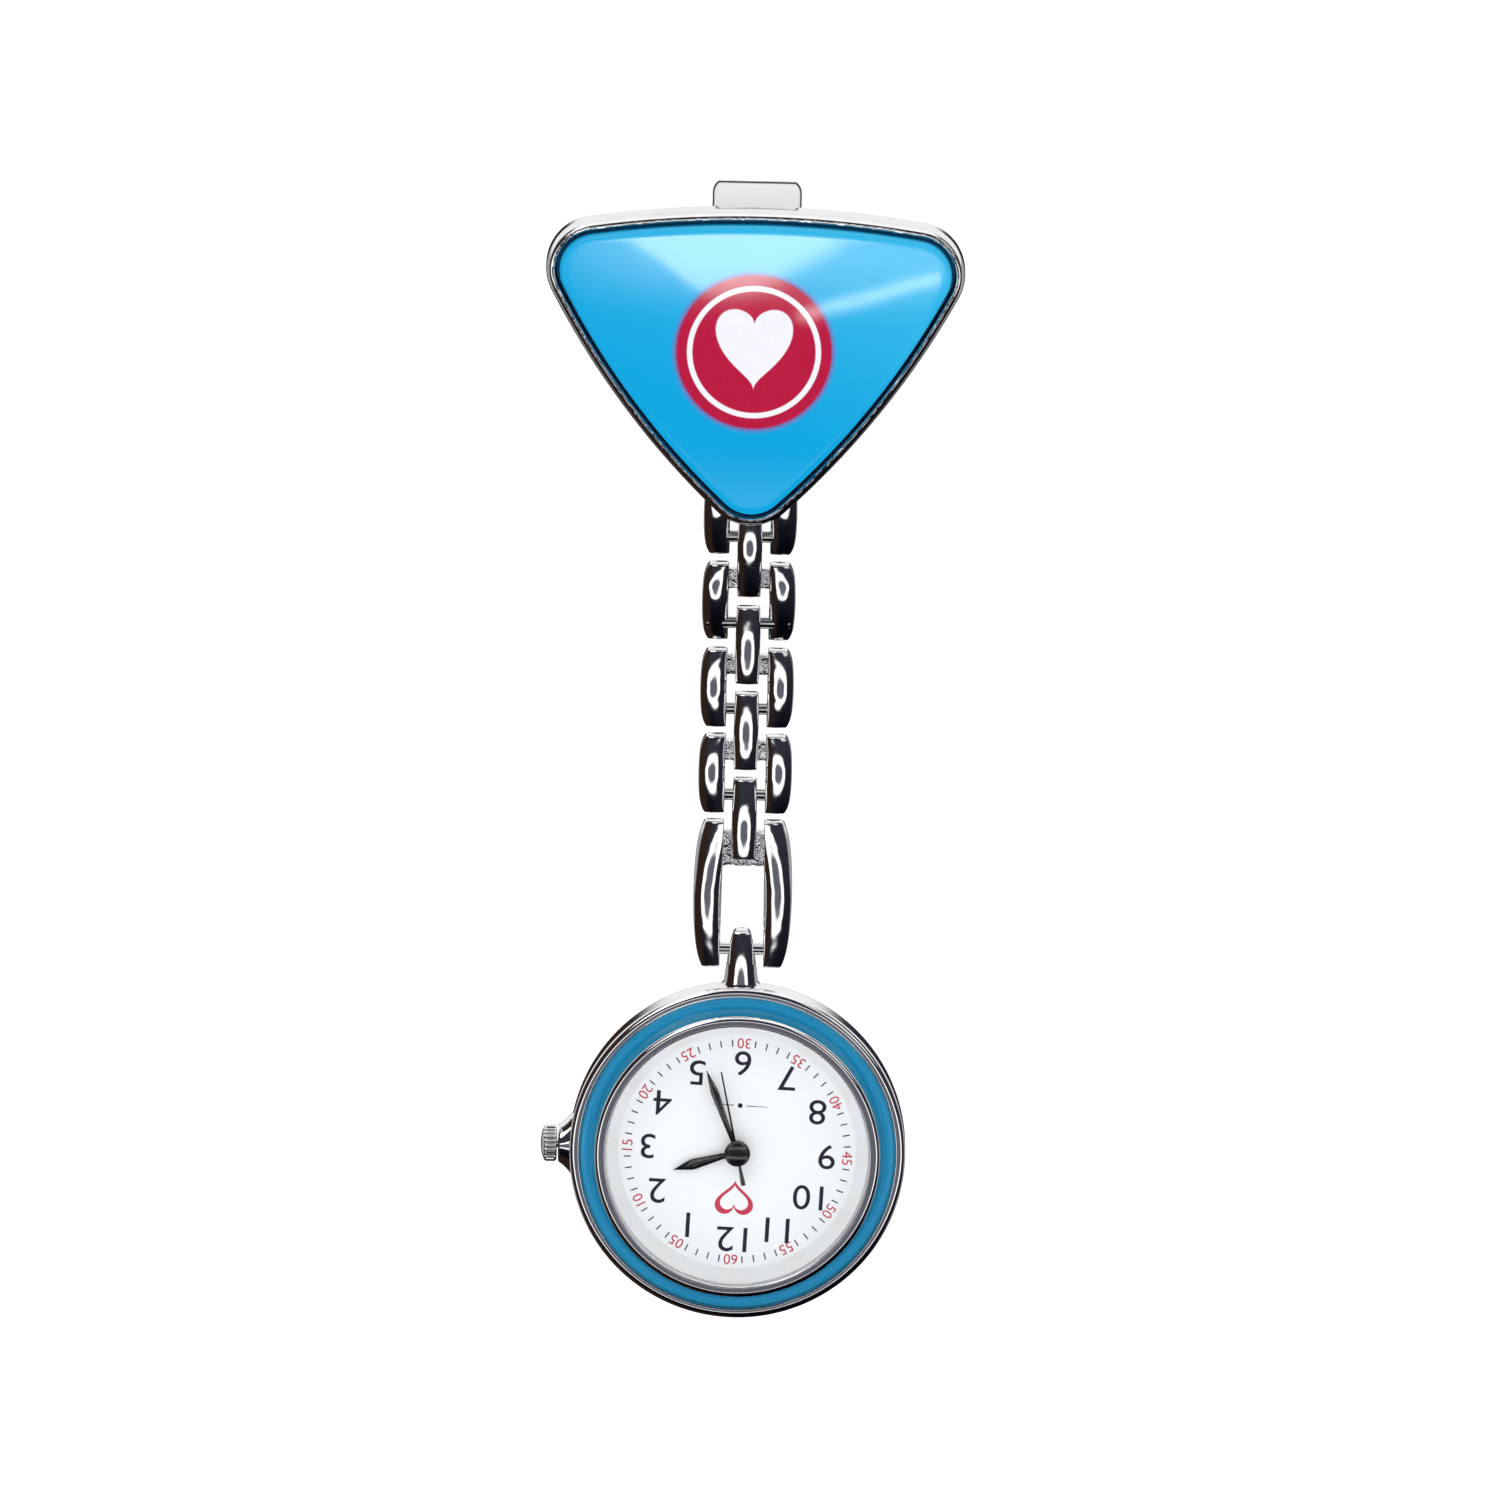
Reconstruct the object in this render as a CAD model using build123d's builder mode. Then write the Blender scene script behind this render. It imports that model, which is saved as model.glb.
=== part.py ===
from build123d import *

import math
import os

# A nurse's fob watch: a clip-on brooch, a chain of cast links, and a quartz watch hung upside down
# so that its wearer reads it by looking down.
#
# Frame, in millimetres: +Z is up, the front faces -Y and +X is to the viewer's right. The origin is
# on the back of the brooch, halfway up the clip's grip. Heights called "front" are measured towards
# the viewer, along -Y, so Plane.XZ.offset(h) is the plane h in front of the brooch's back.

# ---------------------------------------------------------------- driving dimensions
# Brooch
CORNER_X = 17.7           # upper corners of the inlay's outline, before rounding
CORNER_Z = 8.7
TIP_Z = -14.8             # its lower corner
TOP_BOW = 1.8             # how far its top edge bulges
SIDE_BOW = 1.6
CORNER_R = 3.0
RIM_REACH = 1.1           # from the inlay's outline to the outside of the rim
GROOVE = 0.35             # from the inlay's outline to the inside of the rim
PLATE_T = 0.6             # back plate
TRAY_FLOOR = 0.8
RIM_FRONT = 4.0           # front of the rim, from the brooch's back
CARD_T = 0.6
DOME_FRONT = 4.9
DOME_R = 190.0

# Chain
CHAIN_Y = 2.0             # plane of the chain's pins, behind the brooch
ANCHOR_Z = -9.4           # pin that holds the chain to the brooch
FIRST_PIN_Z = -16.6       # lower pin of the top link
PITCH = 7.25              # from pin to pin of a short link
LONG_PITCH = 13.05        # from pin to pin of the long link
PIN_R = 0.5
RUNNING = 0.05            # radial clearance of a turning joint
LINK_T = 2.3              # thickness, front to back
BAR_IN = 1.675            # inside and outside of a link's two side bars
BAR_OUT = 3.9
BAR_BOW = 0.25            # how much narrower a bar is at its ends
CENTRE_W = 2.08           # width of the centre bar
CENTRE_RISE = 1.3         # how far the centre bar passes its own pin
CENTRE_DROP = 5.1
BAR_START = 2.25          # side bars start this far below the upper pin
BAR_END = 1.5             # and end this far below the lower pin
CROWN_R = 14.0            # lengthwise curve of a bar's face
CROSS_R = 1.35            # crosswise curve of a bar's face

# Watch
WATCH_DROP = 16.95        # from the lug's pin down to the watch's centre
LUG_SETBACK = -0.2        # the chain's plane, measured towards the watch's front
CASE_R = 14.0
CASE_BORE = 11.25
LIP_IN = 13.16            # inside of the case's outer lip
LIP_FRONT = 2.0
CASE_REAR = -3.4
BEZEL_R = 11.9
BEZEL_FRONT = 3.8
BEZEL_SEAT = 11.2
BEZEL_OPEN = 10.97
CRYSTAL_R = 10.92
DIAL_FRONT = 1.1
DIAL_VIEW_R = 9.9
STEM_H = -1.2             # crown and stem, from the watch's middle plane
STEM_R = 0.38
CROWN_IN = 15.05          # inner and outer ends of the crown, from the watch's axis
CROWN_OUT = 16.4
CROWN_KNURL_R = 1.55

# Time shown
HOUR, MINUTE, SECOND = 2, 26, 28

# ---------------------------------------------------------------- derived places
LOWER_PINS = [FIRST_PIN_Z - PITCH * i for i in range(4)]
LUG_PIN_Z = LOWER_PINS[-1] - LONG_PITCH
WATCH_Z = LUG_PIN_Z - WATCH_DROP
WATCH_Y = CHAIN_Y + LUG_SETBACK
WATCH = Plane(origin=(0, WATCH_Y, WATCH_Z), x_dir=(1, 0, 0), z_dir=(0, -1, 0))
LATHE = Plane(origin=(0, WATCH_Y, WATCH_Z), x_dir=(1, 0, 0), z_dir=(0, 0, -1))
WATCH_AXIS = Axis((0, WATCH_Y, WATCH_Z), (0, -1, 0))

os.makedirs("parts", exist_ok=True)


def save(piece, name):
    piece.part.label = name
    export_step(piece.part, f"parts/{name}.step")


def polar(radius, degrees_from_x):
    angle = math.radians(degrees_from_x)
    return (radius * math.cos(angle), radius * math.sin(angle))


def bowed_edge(start, end, bow):
    """An arc from start to end that bulges to the left of its direction by bow."""
    run = Vector(*end) - Vector(*start)
    middle = (Vector(*start) + Vector(*end)) * 0.5
    left = Vector(-run.Y, run.X).normalized()
    return ThreePointArc(start, middle + left * bow, end)


def lathe(profile):
    """A ring or disc of the watch, from its (radius, front height) outline."""
    with BuildPart() as turned:
        with BuildSketch(LATHE):
            with BuildLine():
                Polyline(*profile, close=True)
            make_face()
        revolve(axis=WATCH_AXIS)
    return turned


def rod_x(radius, x_from, x_to, y, z, mode=Mode.ADD):
    """A round bar along X, in the current part."""
    with BuildSketch(Plane.YZ.offset(x_from)) as section:
        with Locations((y, z)):
            Circle(radius)
    extrude(section.sketch, amount=x_to - x_from, mode=mode)


# ---------------------------------------------------------------- brooch
def inlay_outline(grow):
    """The inlay's rounded triangle, grown outwards."""
    left, right, tip = (-CORNER_X, CORNER_Z), (CORNER_X, CORNER_Z), (0, TIP_Z)
    with BuildSketch() as outline:
        with BuildLine():
            bowed_edge(left, right, TOP_BOW)
            bowed_edge(right, tip, SIDE_BOW)
            bowed_edge(tip, left, SIDE_BOW)
        make_face()
        fillet(outline.vertices(), CORNER_R)
        if grow:
            offset(amount=grow)
    return outline.sketch


LIP_ROUND = 0.3
TRAY_FLOOR_FRONT = PLATE_T + TRAY_FLOOR

with BuildPart() as brooch_tray:
    with BuildSketch(Plane.XZ.offset(PLATE_T)):
        add(inlay_outline(RIM_REACH))
    extrude(amount=RIM_FRONT - PLATE_T)
    with BuildSketch(Plane.XZ.offset(TRAY_FLOOR_FRONT)):
        add(inlay_outline(GROOVE))
    extrude(amount=RIM_FRONT, mode=Mode.SUBTRACT)
    fillet(brooch_tray.edges().group_by(Axis.Y)[0], LIP_ROUND)
save(brooch_tray, "brooch_tray")

with BuildPart() as inlay_card:
    with BuildSketch(Plane.XZ.offset(TRAY_FLOOR_FRONT)):
        add(inlay_outline(GROOVE - 0.1))
    extrude(amount=CARD_T)
save(inlay_card, "inlay_card")

with BuildPart() as resin_dome:
    with BuildSketch(Plane.XZ.offset(TRAY_FLOOR_FRONT + CARD_T)):
        add(inlay_outline(0))
    extrude(amount=DOME_FRONT)
    with Locations((0, DOME_R - DOME_FRONT, 1.0)):
        Sphere(DOME_R, mode=Mode.INTERSECT)
    fillet(resin_dome.faces().sort_by(Axis.Y)[0].edges(), 0.6)
save(resin_dome, "resin_dome")

EAR_R = 1.2               # the two ears that hold the chain's first pin
EAR_IN = CENTRE_W / 2 + 0.1
EAR_T = 0.8
RIVET_R = 0.6
RIVET_Z = (-2.2, 8.6)
PLATE_INSET = 0.2

with BuildPart() as back_plate:
    with BuildSketch(Plane.XZ):
        add(inlay_outline(RIM_REACH - PLATE_INSET))
        with Locations(*[(0, z) for z in RIVET_Z]):
            Circle(RIVET_R, mode=Mode.SUBTRACT)
    extrude(amount=PLATE_T)
    with BuildSketch(Plane.YZ.offset(EAR_IN)):
        with Locations((CHAIN_Y, ANCHOR_Z)):
            Circle(EAR_R)
        with Locations((CHAIN_Y / 2, ANCHOR_Z)):
            Rectangle(CHAIN_Y, 2 * EAR_R)
        with Locations((CHAIN_Y, ANCHOR_Z)):
            Circle(PIN_R, mode=Mode.SUBTRACT)
    ear = extrude(amount=EAR_T)
    mirror(ear, about=Plane.YZ)
save(back_plate, "back_plate")

with BuildPart() as anchor_pin:
    pin_half = EAR_IN + EAR_T + 0.2
    rod_x(PIN_R, -pin_half, pin_half, CHAIN_Y, ANCHOR_Z)
    chamfer(anchor_pin.edges().filter_by(GeomType.CIRCLE), 0.12)
save(anchor_pin, "anchor_pin")

# ---------------------------------------------------------------- clip
BASE_T = 0.5
BASE_W = 8.4
BASE_LOW, BASE_HIGH = -5.4, 9.9
HINGE_Y, HINGE_Z = 3.1, 5.5
CLIP_PIN_R = 0.6
CLIP_EAR_T = 0.45
CLIP_EAR_R = 1.25
TAB_W = 7.4
TAB_TOP = 12.8
LEVER_T = 0.45
LEVER_EAR_R = 1.1
# the lever's middle line in (y, z), from the thumb tab's top down to the jaw
LEVER_LINE = [(4.9, TAB_TOP), (4.9, 8.6), (4.35, 3.5), (3.6, -2.4), (0.62, -4.6)]

with BuildPart() as clip_base:
    with BuildSketch(Plane.XZ):
        with Locations((0, (BASE_LOW + BASE_HIGH) / 2)):
            RectangleRounded(BASE_W, BASE_HIGH - BASE_LOW, 1.2)
        with Locations(*[(0, z) for z in RIVET_Z]):
            Circle(RIVET_R, mode=Mode.SUBTRACT)
    extrude(amount=-BASE_T)
    with BuildSketch(Plane.YZ.offset(BASE_W / 2 - CLIP_EAR_T)):
        with Locations((HINGE_Y, HINGE_Z)):
            Circle(CLIP_EAR_R)
        with Locations((BASE_T / 2, HINGE_Z)):
            Rectangle(BASE_T, 5.6)
        make_hull()
        with Locations((HINGE_Y, HINGE_Z)):
            Circle(CLIP_PIN_R, mode=Mode.SUBTRACT)
    clip_ear = extrude(amount=CLIP_EAR_T)
    mirror(clip_ear, about=Plane.YZ)
save(clip_base, "clip_base")

with BuildPart() as clip_lever:
    with BuildSketch(Plane.YZ.offset(-TAB_W / 2)):
        with BuildLine():
            FilletPolyline(*LEVER_LINE, radius=1.0)
        trace(line_width=LEVER_T)
    extrude(amount=TAB_W)
    # the tab's rounded upper corners
    with BuildSketch(Plane.XZ):
        with Locations((0, (TAB_TOP + LEVER_T / 2 - 8.0) / 2)):
            RectangleRounded(TAB_W, TAB_TOP + LEVER_T / 2 + 8.0, 1.2)
    extrude(amount=-8.0, mode=Mode.INTERSECT)
    with BuildSketch(Plane.YZ.offset(TAB_W / 2 - LEVER_T)):
        with Locations((HINGE_Y, HINGE_Z)):
            Circle(LEVER_EAR_R)
        with Locations((4.55, HINGE_Z)):
            Rectangle(0.3, 4.0)
        make_hull()
    lever_ear = extrude(amount=LEVER_T)
    mirror(lever_ear, about=Plane.YZ)
    rod_x(CLIP_PIN_R + RUNNING, -TAB_W, TAB_W, HINGE_Y, HINGE_Z, mode=Mode.SUBTRACT)
    # the jaw's teeth
    with BuildSketch(Plane.XZ.offset(-BASE_T)):
        with GridLocations(1.2, 1, 5, 1):
            with Locations((0, -4.75)):
                Rectangle(0.55, 1.2)
    extrude(amount=-0.7, mode=Mode.SUBTRACT)
save(clip_lever, "clip_lever")

with BuildPart() as clip_pin:
    rod_x(CLIP_PIN_R, -BASE_W / 2, BASE_W / 2, HINGE_Y, HINGE_Z)
    rod_x(0.95, BASE_W / 2, BASE_W / 2 + 0.35, HINGE_Y, HINGE_Z)
    rod_x(0.95, -BASE_W / 2 - 0.35, -BASE_W / 2, HINGE_Y, HINGE_Z)
    fillet(clip_pin.edges().group_by(Axis.X)[0] + clip_pin.edges().group_by(Axis.X)[-1], 0.2)
save(clip_pin, "clip_pin")

with BuildPart() as clip_rivets:
    with BuildSketch(Plane.XZ.offset(PLATE_T)):
        with Locations(*[(0, z) for z in RIVET_Z]):
            Circle(RIVET_R)
    extrude(amount=-PLATE_T - BASE_T)
    with BuildSketch(Plane.XZ.offset(-BASE_T)):
        with Locations(*[(0, z) for z in RIVET_Z]):
            Circle(1.1)
    extrude(amount=-0.3)
    fillet(clip_rivets.edges().group_by(Axis.Y)[-1], 0.2)
save(clip_rivets, "clip_rivets")

COIL_R = 0.95
WIRE_R = 0.2
COIL_PITCH = 0.46
COIL_TURNS = 5           # a whole number, so both legs leave the coil's top
COIL_HALF = COIL_PITCH * COIL_TURNS / 2

LEVER_LEG, BASE_LEG = 1.1, 2.5

with BuildPart() as clip_spring:
    with BuildLine():
        turns = Helix(COIL_PITCH, 2 * COIL_HALF, COIL_R, center=(-COIL_HALF, HINGE_Y, HINGE_Z),
                      direction=(1, 0, 0))
    with BuildSketch(Plane(origin=turns @ 0, z_dir=turns % 0)):
        Circle(WIRE_R)
    sweep(path=turns, is_frenet=True)
    for end, sign, leg_length in ((0, -1, LEVER_LEG), (1, 1, BASE_LEG)):
        with BuildSketch(Plane(origin=turns @ end, z_dir=(turns % end) * sign)) as leg:
            Circle(WIRE_R)
        extrude(leg.sketch, amount=leg_length)
save(clip_spring, "clip_spring")


# ---------------------------------------------------------------- chain
def crowned_bar(outline, x_mid, z_low, z_high):
    """A bar with this outline: a face curved both ways in front, flat behind."""
    front = CHAIN_Y - LINK_T / 2
    height = z_high - z_low
    crown = max(CROWN_R, height * 2.2)
    with BuildPart() as bar:
        with Locations((x_mid, front + crown, (z_low + z_high) / 2)):
            Torus(crown - CROSS_R, CROSS_R, rotation=(0, 90, 0))
        with Locations((x_mid, CHAIN_Y + LINK_T / 4, (z_low + z_high) / 2)):
            Box(2.9, LINK_T / 2 + 0.3, height + 1)
        with BuildSketch(Plane.XZ.offset(-CHAIN_Y)):
            add(outline)
        extrude(amount=LINK_T / 2, both=True, mode=Mode.INTERSECT)
    return bar.part


def side_bar_outline(z_low, z_high, outer, bow, foot_in):
    """The right-hand bar: a straight inner edge, a bowed outer edge and nipped corners."""
    with BuildSketch() as outline:
        with BuildLine():
            Polyline((outer - bow, z_high), (BAR_IN, z_high), (foot_in, z_low),
                     (outer - bow, z_low))
            bowed_edge((outer - bow, z_low), (outer - bow, z_high), -bow)
        make_face()
        chamfer(outline.vertices(), 0.18)
    return outline.sketch


def centre_bar_outline(z_low, z_high):
    half = CENTRE_W / 2
    with BuildSketch() as outline:
        with BuildLine():
            Line((-half + 0.08, z_high), (half - 0.08, z_high))
            bowed_edge((half - 0.08, z_high), (half - 0.08, z_low), 0.08)
            Line((half - 0.08, z_low), (-half + 0.08, z_low))
            bowed_edge((-half + 0.08, z_low), (-half + 0.08, z_high), 0.08)
        make_face()
        chamfer(outline.vertices(), 0.15)
    return outline.sketch


def cast_link(upper_z, lower_z, centre_drop, web, outer, bow, foot_in):
    """One casting: a centre bar on the upper pin, and two side bars that hold the lower pin.

    web is the (start, end) of the web between them, below the upper pin."""
    bar_high, bar_low = upper_z - BAR_START, lower_z - BAR_END
    centre_high, centre_low = upper_z + CENTRE_RISE, upper_z - centre_drop
    side = crowned_bar(side_bar_outline(bar_low, bar_high, outer, bow, foot_in),
                       (BAR_IN + outer) / 2, bar_low, bar_high)
    centre = crowned_bar(centre_bar_outline(centre_low, centre_high), 0, centre_low, centre_high)
    web_start, web_end = web
    with BuildPart() as link:
        add(side)
        mirror(side, about=Plane.YZ)
        add(centre)
        with Locations((0, CHAIN_Y + 0.3, upper_z - (web_start + web_end) / 2)):
            Box(2 * BAR_IN + 0.8, 1.3, web_end - web_start)
        rod_x(PIN_R + RUNNING, -CENTRE_W, CENTRE_W, CHAIN_Y, upper_z, mode=Mode.SUBTRACT)
        rod_x(PIN_R, -BAR_OUT + 0.45, BAR_OUT - 0.45, CHAIN_Y, lower_z, mode=Mode.SUBTRACT)
    return link


def link_pin(z):
    with BuildPart() as pin:
        rod_x(PIN_R, -BAR_OUT + 0.45, BAR_OUT - 0.45, CHAIN_Y, z)
    return pin


SHORT_WEB = (2.65, 4.4)
LONG_WEB = (3.0, 6.05)
LONG_CENTRE_DROP = 5.4
LONG_OUT, LONG_BOW = 4.12, 0.5
LONG_FOOT_IN = 1.8

SHORT_LINKS = ["link_top", "link_1", "link_2", "link_3"]
upper = ANCHOR_Z
for number, (link_name, lower) in enumerate(zip(SHORT_LINKS, LOWER_PINS)):
    short_link = cast_link(upper, lower, CENTRE_DROP, SHORT_WEB, BAR_OUT, BAR_BOW, BAR_IN)
    save(short_link, link_name)
    save(link_pin(lower), f"link_pin_{number + 1}")
    upper = lower

long_link = cast_link(upper, LUG_PIN_Z, LONG_CENTRE_DROP, LONG_WEB, LONG_OUT, LONG_BOW,
                      LONG_FOOT_IN)
save(long_link, "link_long")
save(link_pin(LUG_PIN_Z), "lug_pin")

# ---------------------------------------------------------------- watch case
LUG_TIP = 1.65            # the lug passes its pin by this much
LUG_T = 2.2
BOSS_BASE = (3.4, 1.7)    # half sizes of the crown's boss where it leaves the case
BOSS_END_R = 1.65
TUBE_R = 0.75
TUBE_BORE = STEM_R + 0.07
BEZEL_SPIGOT = 11.6       # the bezel ring's root, in its recess in the case
SHELF = 1.2               # floor of the enamel ring's channel
SPIGOT_REAR = 0.9

with BuildPart() as watch_case:
    with BuildSketch(LATHE):
        with BuildLine():
            Polyline((CASE_BORE, SPIGOT_REAR), (CASE_BORE, CASE_REAR), (12.95, CASE_REAR))
            ThreePointArc((12.95, CASE_REAR), (13.75, -2.3), (CASE_R, -0.9))
            Line((CASE_R, -0.9), (CASE_R, 1.3))
            ThreePointArc((CASE_R, 1.3), (13.88, 1.8), (13.6, LIP_FRONT))
            Polyline((13.6, LIP_FRONT), (13.3, LIP_FRONT), (LIP_IN, 1.85), (LIP_IN, SHELF),
                     (BEZEL_SPIGOT, SHELF), (BEZEL_SPIGOT, SPIGOT_REAR), (CASE_BORE, SPIGOT_REAR))
        make_face()
    revolve(axis=WATCH_AXIS)
    # the lug: a tongue that narrows towards its pin
    with BuildSketch(Plane.XZ.offset(-CHAIN_Y)):
        with BuildLine():
            Polyline((-2.2, LUG_PIN_Z - 3.6), (-1.4, LUG_PIN_Z - 2.85), (-1.05, LUG_PIN_Z),
                     (-0.6, LUG_PIN_Z + LUG_TIP), (0.6, LUG_PIN_Z + LUG_TIP), (1.05, LUG_PIN_Z),
                     (1.4, LUG_PIN_Z - 2.85), (2.2, LUG_PIN_Z - 3.6), close=True)
        make_face()
    extrude(amount=LUG_T / 2, both=True)
    rod_x(PIN_R + RUNNING, -3, 3, CHAIN_Y, LUG_PIN_Z, mode=Mode.SUBTRACT)
    # the boss that the crown's tube sits in
    with BuildSketch(Plane.YZ.offset(-13.2)):
        with Locations((WATCH_Y - STEM_H, WATCH_Z)):
            Ellipse(BOSS_BASE[1], BOSS_BASE[0])
    with BuildSketch(Plane.YZ.offset(-CROWN_IN + 0.1)):
        with Locations((WATCH_Y - STEM_H, WATCH_Z)):
            Circle(BOSS_END_R)
    loft()
    rod_x(TUBE_R, -CROWN_IN, -CASE_BORE + 1, WATCH_Y - STEM_H, WATCH_Z, mode=Mode.SUBTRACT)
save(watch_case, "watch_case")

with BuildPart() as crown_tube:
    rod_x(TUBE_R, -CROWN_IN + 0.1, -CASE_BORE - 0.05, WATCH_Y - STEM_H, WATCH_Z)
    rod_x(TUBE_BORE, -CROWN_IN, -CASE_BORE, WATCH_Y - STEM_H, WATCH_Z, mode=Mode.SUBTRACT)
save(crown_tube, "crown_tube")

ENAMEL_FRONT = 1.75
save(lathe([(BEZEL_R, SHELF), (LIP_IN, SHELF), (LIP_IN, 1.5), (12.7, ENAMEL_FRONT),
            (12.3, ENAMEL_FRONT), (BEZEL_R, 1.6)]), "enamel_ring")

with BuildPart() as bezel_ring:
    with BuildSketch(LATHE):
        with BuildLine():
            Polyline((BEZEL_SEAT, SPIGOT_REAR), (BEZEL_SPIGOT, SPIGOT_REAR), (BEZEL_SPIGOT, SHELF),
                     (BEZEL_R, SHELF), (BEZEL_R, 3.4))
            ThreePointArc((BEZEL_R, 3.4), (11.7, 3.7), (11.35, BEZEL_FRONT))
            Polyline((11.35, BEZEL_FRONT), (11.1, BEZEL_FRONT), (BEZEL_OPEN, 3.65),
                     (BEZEL_OPEN, 3.35), (BEZEL_SEAT, 3.35), (BEZEL_SEAT, SPIGOT_REAR))
        make_face()
    revolve(axis=WATCH_AXIS)
save(bezel_ring, "bezel_ring")

CRYSTAL_REAR = 2.85
save(lathe([(0, CRYSTAL_REAR), (CRYSTAL_R, CRYSTAL_REAR), (CRYSTAL_R, 3.6), (10.7, 3.68),
            (0, 3.78)]), "crystal")
save(lathe([(CRYSTAL_R + 0.02, CRYSTAL_REAR), (BEZEL_SEAT - 0.02, CRYSTAL_REAR),
            (BEZEL_SEAT - 0.02, 3.33), (CRYSTAL_R + 0.02, 3.33)]), "crystal_gasket")
save(lathe([(DIAL_VIEW_R, DIAL_FRONT), (BEZEL_SEAT - 0.05, DIAL_FRONT),
            (BEZEL_SEAT - 0.05, CRYSTAL_REAR), (10.85, CRYSTAL_REAR)]), "flange_ring")

DIAL_T = 0.35
MOVEMENT_FRONT = DIAL_FRONT - DIAL_T
save(lathe([(0.85, MOVEMENT_FRONT), (10.9, MOVEMENT_FRONT), (10.9, DIAL_FRONT),
            (0.85, DIAL_FRONT)]), "dial")

with BuildPart() as case_back:
    with BuildSketch(LATHE):
        with BuildLine():
            Polyline((0, -3.6), (10.2, -3.6), (10.2, -2.95), (11.0, -2.95), (11.0, CASE_REAR),
                     (12.8, CASE_REAR), (12.8, -3.7), (12.3, -4.05), (11.4, -4.25), (0, -4.25),
                     close=True)
        make_face()
    revolve(axis=WATCH_AXIS)
    # the notch that a case knife goes into
    with BuildSketch(WATCH.offset(-3.75)):
        with Locations(polar(12.7, 250)):
            Circle(0.7)
    extrude(amount=0.35, mode=Mode.SUBTRACT)
save(case_back, "case_back")
save(lathe([(11.02, CASE_REAR + 0.02), (11.22, CASE_REAR + 0.02), (11.22, -2.97),
            (11.02, -2.97)]), "back_gasket")

# ---------------------------------------------------------------- movement
# Layers are heights in front of the watch's middle plane; places are (x, z) from the watch's axis.
PLATE_R = 9.0
PLATE_REAR = -0.75
MOTION_FLOOR = -0.15      # floor of the pocket for the hour and minute wheels
BRIDGE_FRONT, BRIDGE_REAR = -2.0, -2.35
RING_REAR = -2.9
PIVOT_R = 0.12
PIVOT_HOLE_R = 0.16
ARBOR_DISTANCE = 3.06     # third and fifth wheels, from the centre
MOTION_DISTANCE = 2.4     # minute wheel, from the centre
CENTRE = (0.0, 0.0)
THIRD_DIRECTION = 200
FIFTH_DIRECTION = 90
ROTOR_DIRECTION = 45      # from the fifth wheel
MINUTE_WHEEL_DIRECTION = 300
THIRD = polar(ARBOR_DISTANCE, THIRD_DIRECTION)
FIFTH = polar(ARBOR_DISTANCE, FIFTH_DIRECTION)
ROTOR_STEP = polar(1.8, ROTOR_DIRECTION)
ROTOR = (FIFTH[0] + ROTOR_STEP[0], FIFTH[1] + ROTOR_STEP[1])
MINUTE_WHEEL = polar(MOTION_DISTANCE, MINUTE_WHEEL_DIRECTION)
CELL = polar(5.95, -50)
CELL_R = 2.9
POSTS = [(-5.5, 3.0), (4.6, 1.6), (0.2, -4.6)]
COIL_Z, COIL_H = 6.9, -2.0
CAN_ENDS = ((-6.4, -3.9), (-2.6, -6.9))


def gear_outline(place, teeth, module, facing, tooth_there):
    """A toothed outline with a tooth, or else a gap, in the direction facing (degrees)."""
    pitch_r = teeth * module / 2
    tip_r, root_r = pitch_r + 0.8 * module, pitch_r - 1.1 * module
    corners = ((root_r, -0.30), (tip_r, -0.12), (tip_r, 0.12), (root_r, 0.30))
    step = 360 / teeth
    start = facing if tooth_there else facing + step / 2
    points = []
    for tooth in range(teeth):
        for radius, share in corners:
            x, z = polar(radius, start + (tooth + share) * step)
            points.append((place[0] + x, place[1] + z))
    with BuildSketch() as outline:
        with BuildLine():
            Polyline(*points, close=True)
        make_face()
    return outline.sketch


def disc_layer(place, radius, low, high, mode=Mode.ADD):
    """A round layer of the movement, in the current part."""
    with BuildSketch(WATCH.offset(low)) as layer:
        with Locations(place):
            Circle(radius)
    extrude(layer.sketch, amount=high - low, mode=mode)


def gear_layer(outline, low, high):
    """A toothed layer of the movement, in the current part."""
    with BuildSketch(WATCH.offset(low)) as layer:
        add(outline)
    extrude(layer.sketch, amount=high - low)


with BuildPart() as movement_ring:
    disc_layer(CENTRE, CASE_BORE - 0.1, RING_REAR, MOVEMENT_FRONT - 0.02)
    disc_layer(CENTRE, PLATE_R + 0.05, RING_REAR, MOVEMENT_FRONT, mode=Mode.SUBTRACT)
    rod_x(TUBE_BORE, -CASE_BORE, -PLATE_R + 1, WATCH_Y - STEM_H, WATCH_Z, mode=Mode.SUBTRACT)
save(movement_ring, "movement_ring")

with BuildPart() as main_plate:
    disc_layer(CENTRE, PLATE_R, PLATE_REAR, MOVEMENT_FRONT - 0.02)
    disc_layer(CENTRE, 2.15, MOTION_FLOOR, MOVEMENT_FRONT, mode=Mode.SUBTRACT)
    disc_layer(MINUTE_WHEEL, 2.05, MOTION_FLOOR, MOVEMENT_FRONT, mode=Mode.SUBTRACT)
    disc_layer(MINUTE_WHEEL, 0.2, MOTION_FLOOR, 0.6)
    disc_layer(CENTRE, 0.5, PLATE_REAR, MOTION_FLOOR, mode=Mode.SUBTRACT)
    disc_layer(CELL, CELL_R + 0.08, PLATE_REAR, -0.44, mode=Mode.SUBTRACT)
    for pivot in (THIRD, FIFTH, ROTOR):
        disc_layer(pivot, PIVOT_HOLE_R, PLATE_REAR, -0.45, mode=Mode.SUBTRACT)
save(main_plate, "main_plate")

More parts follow.
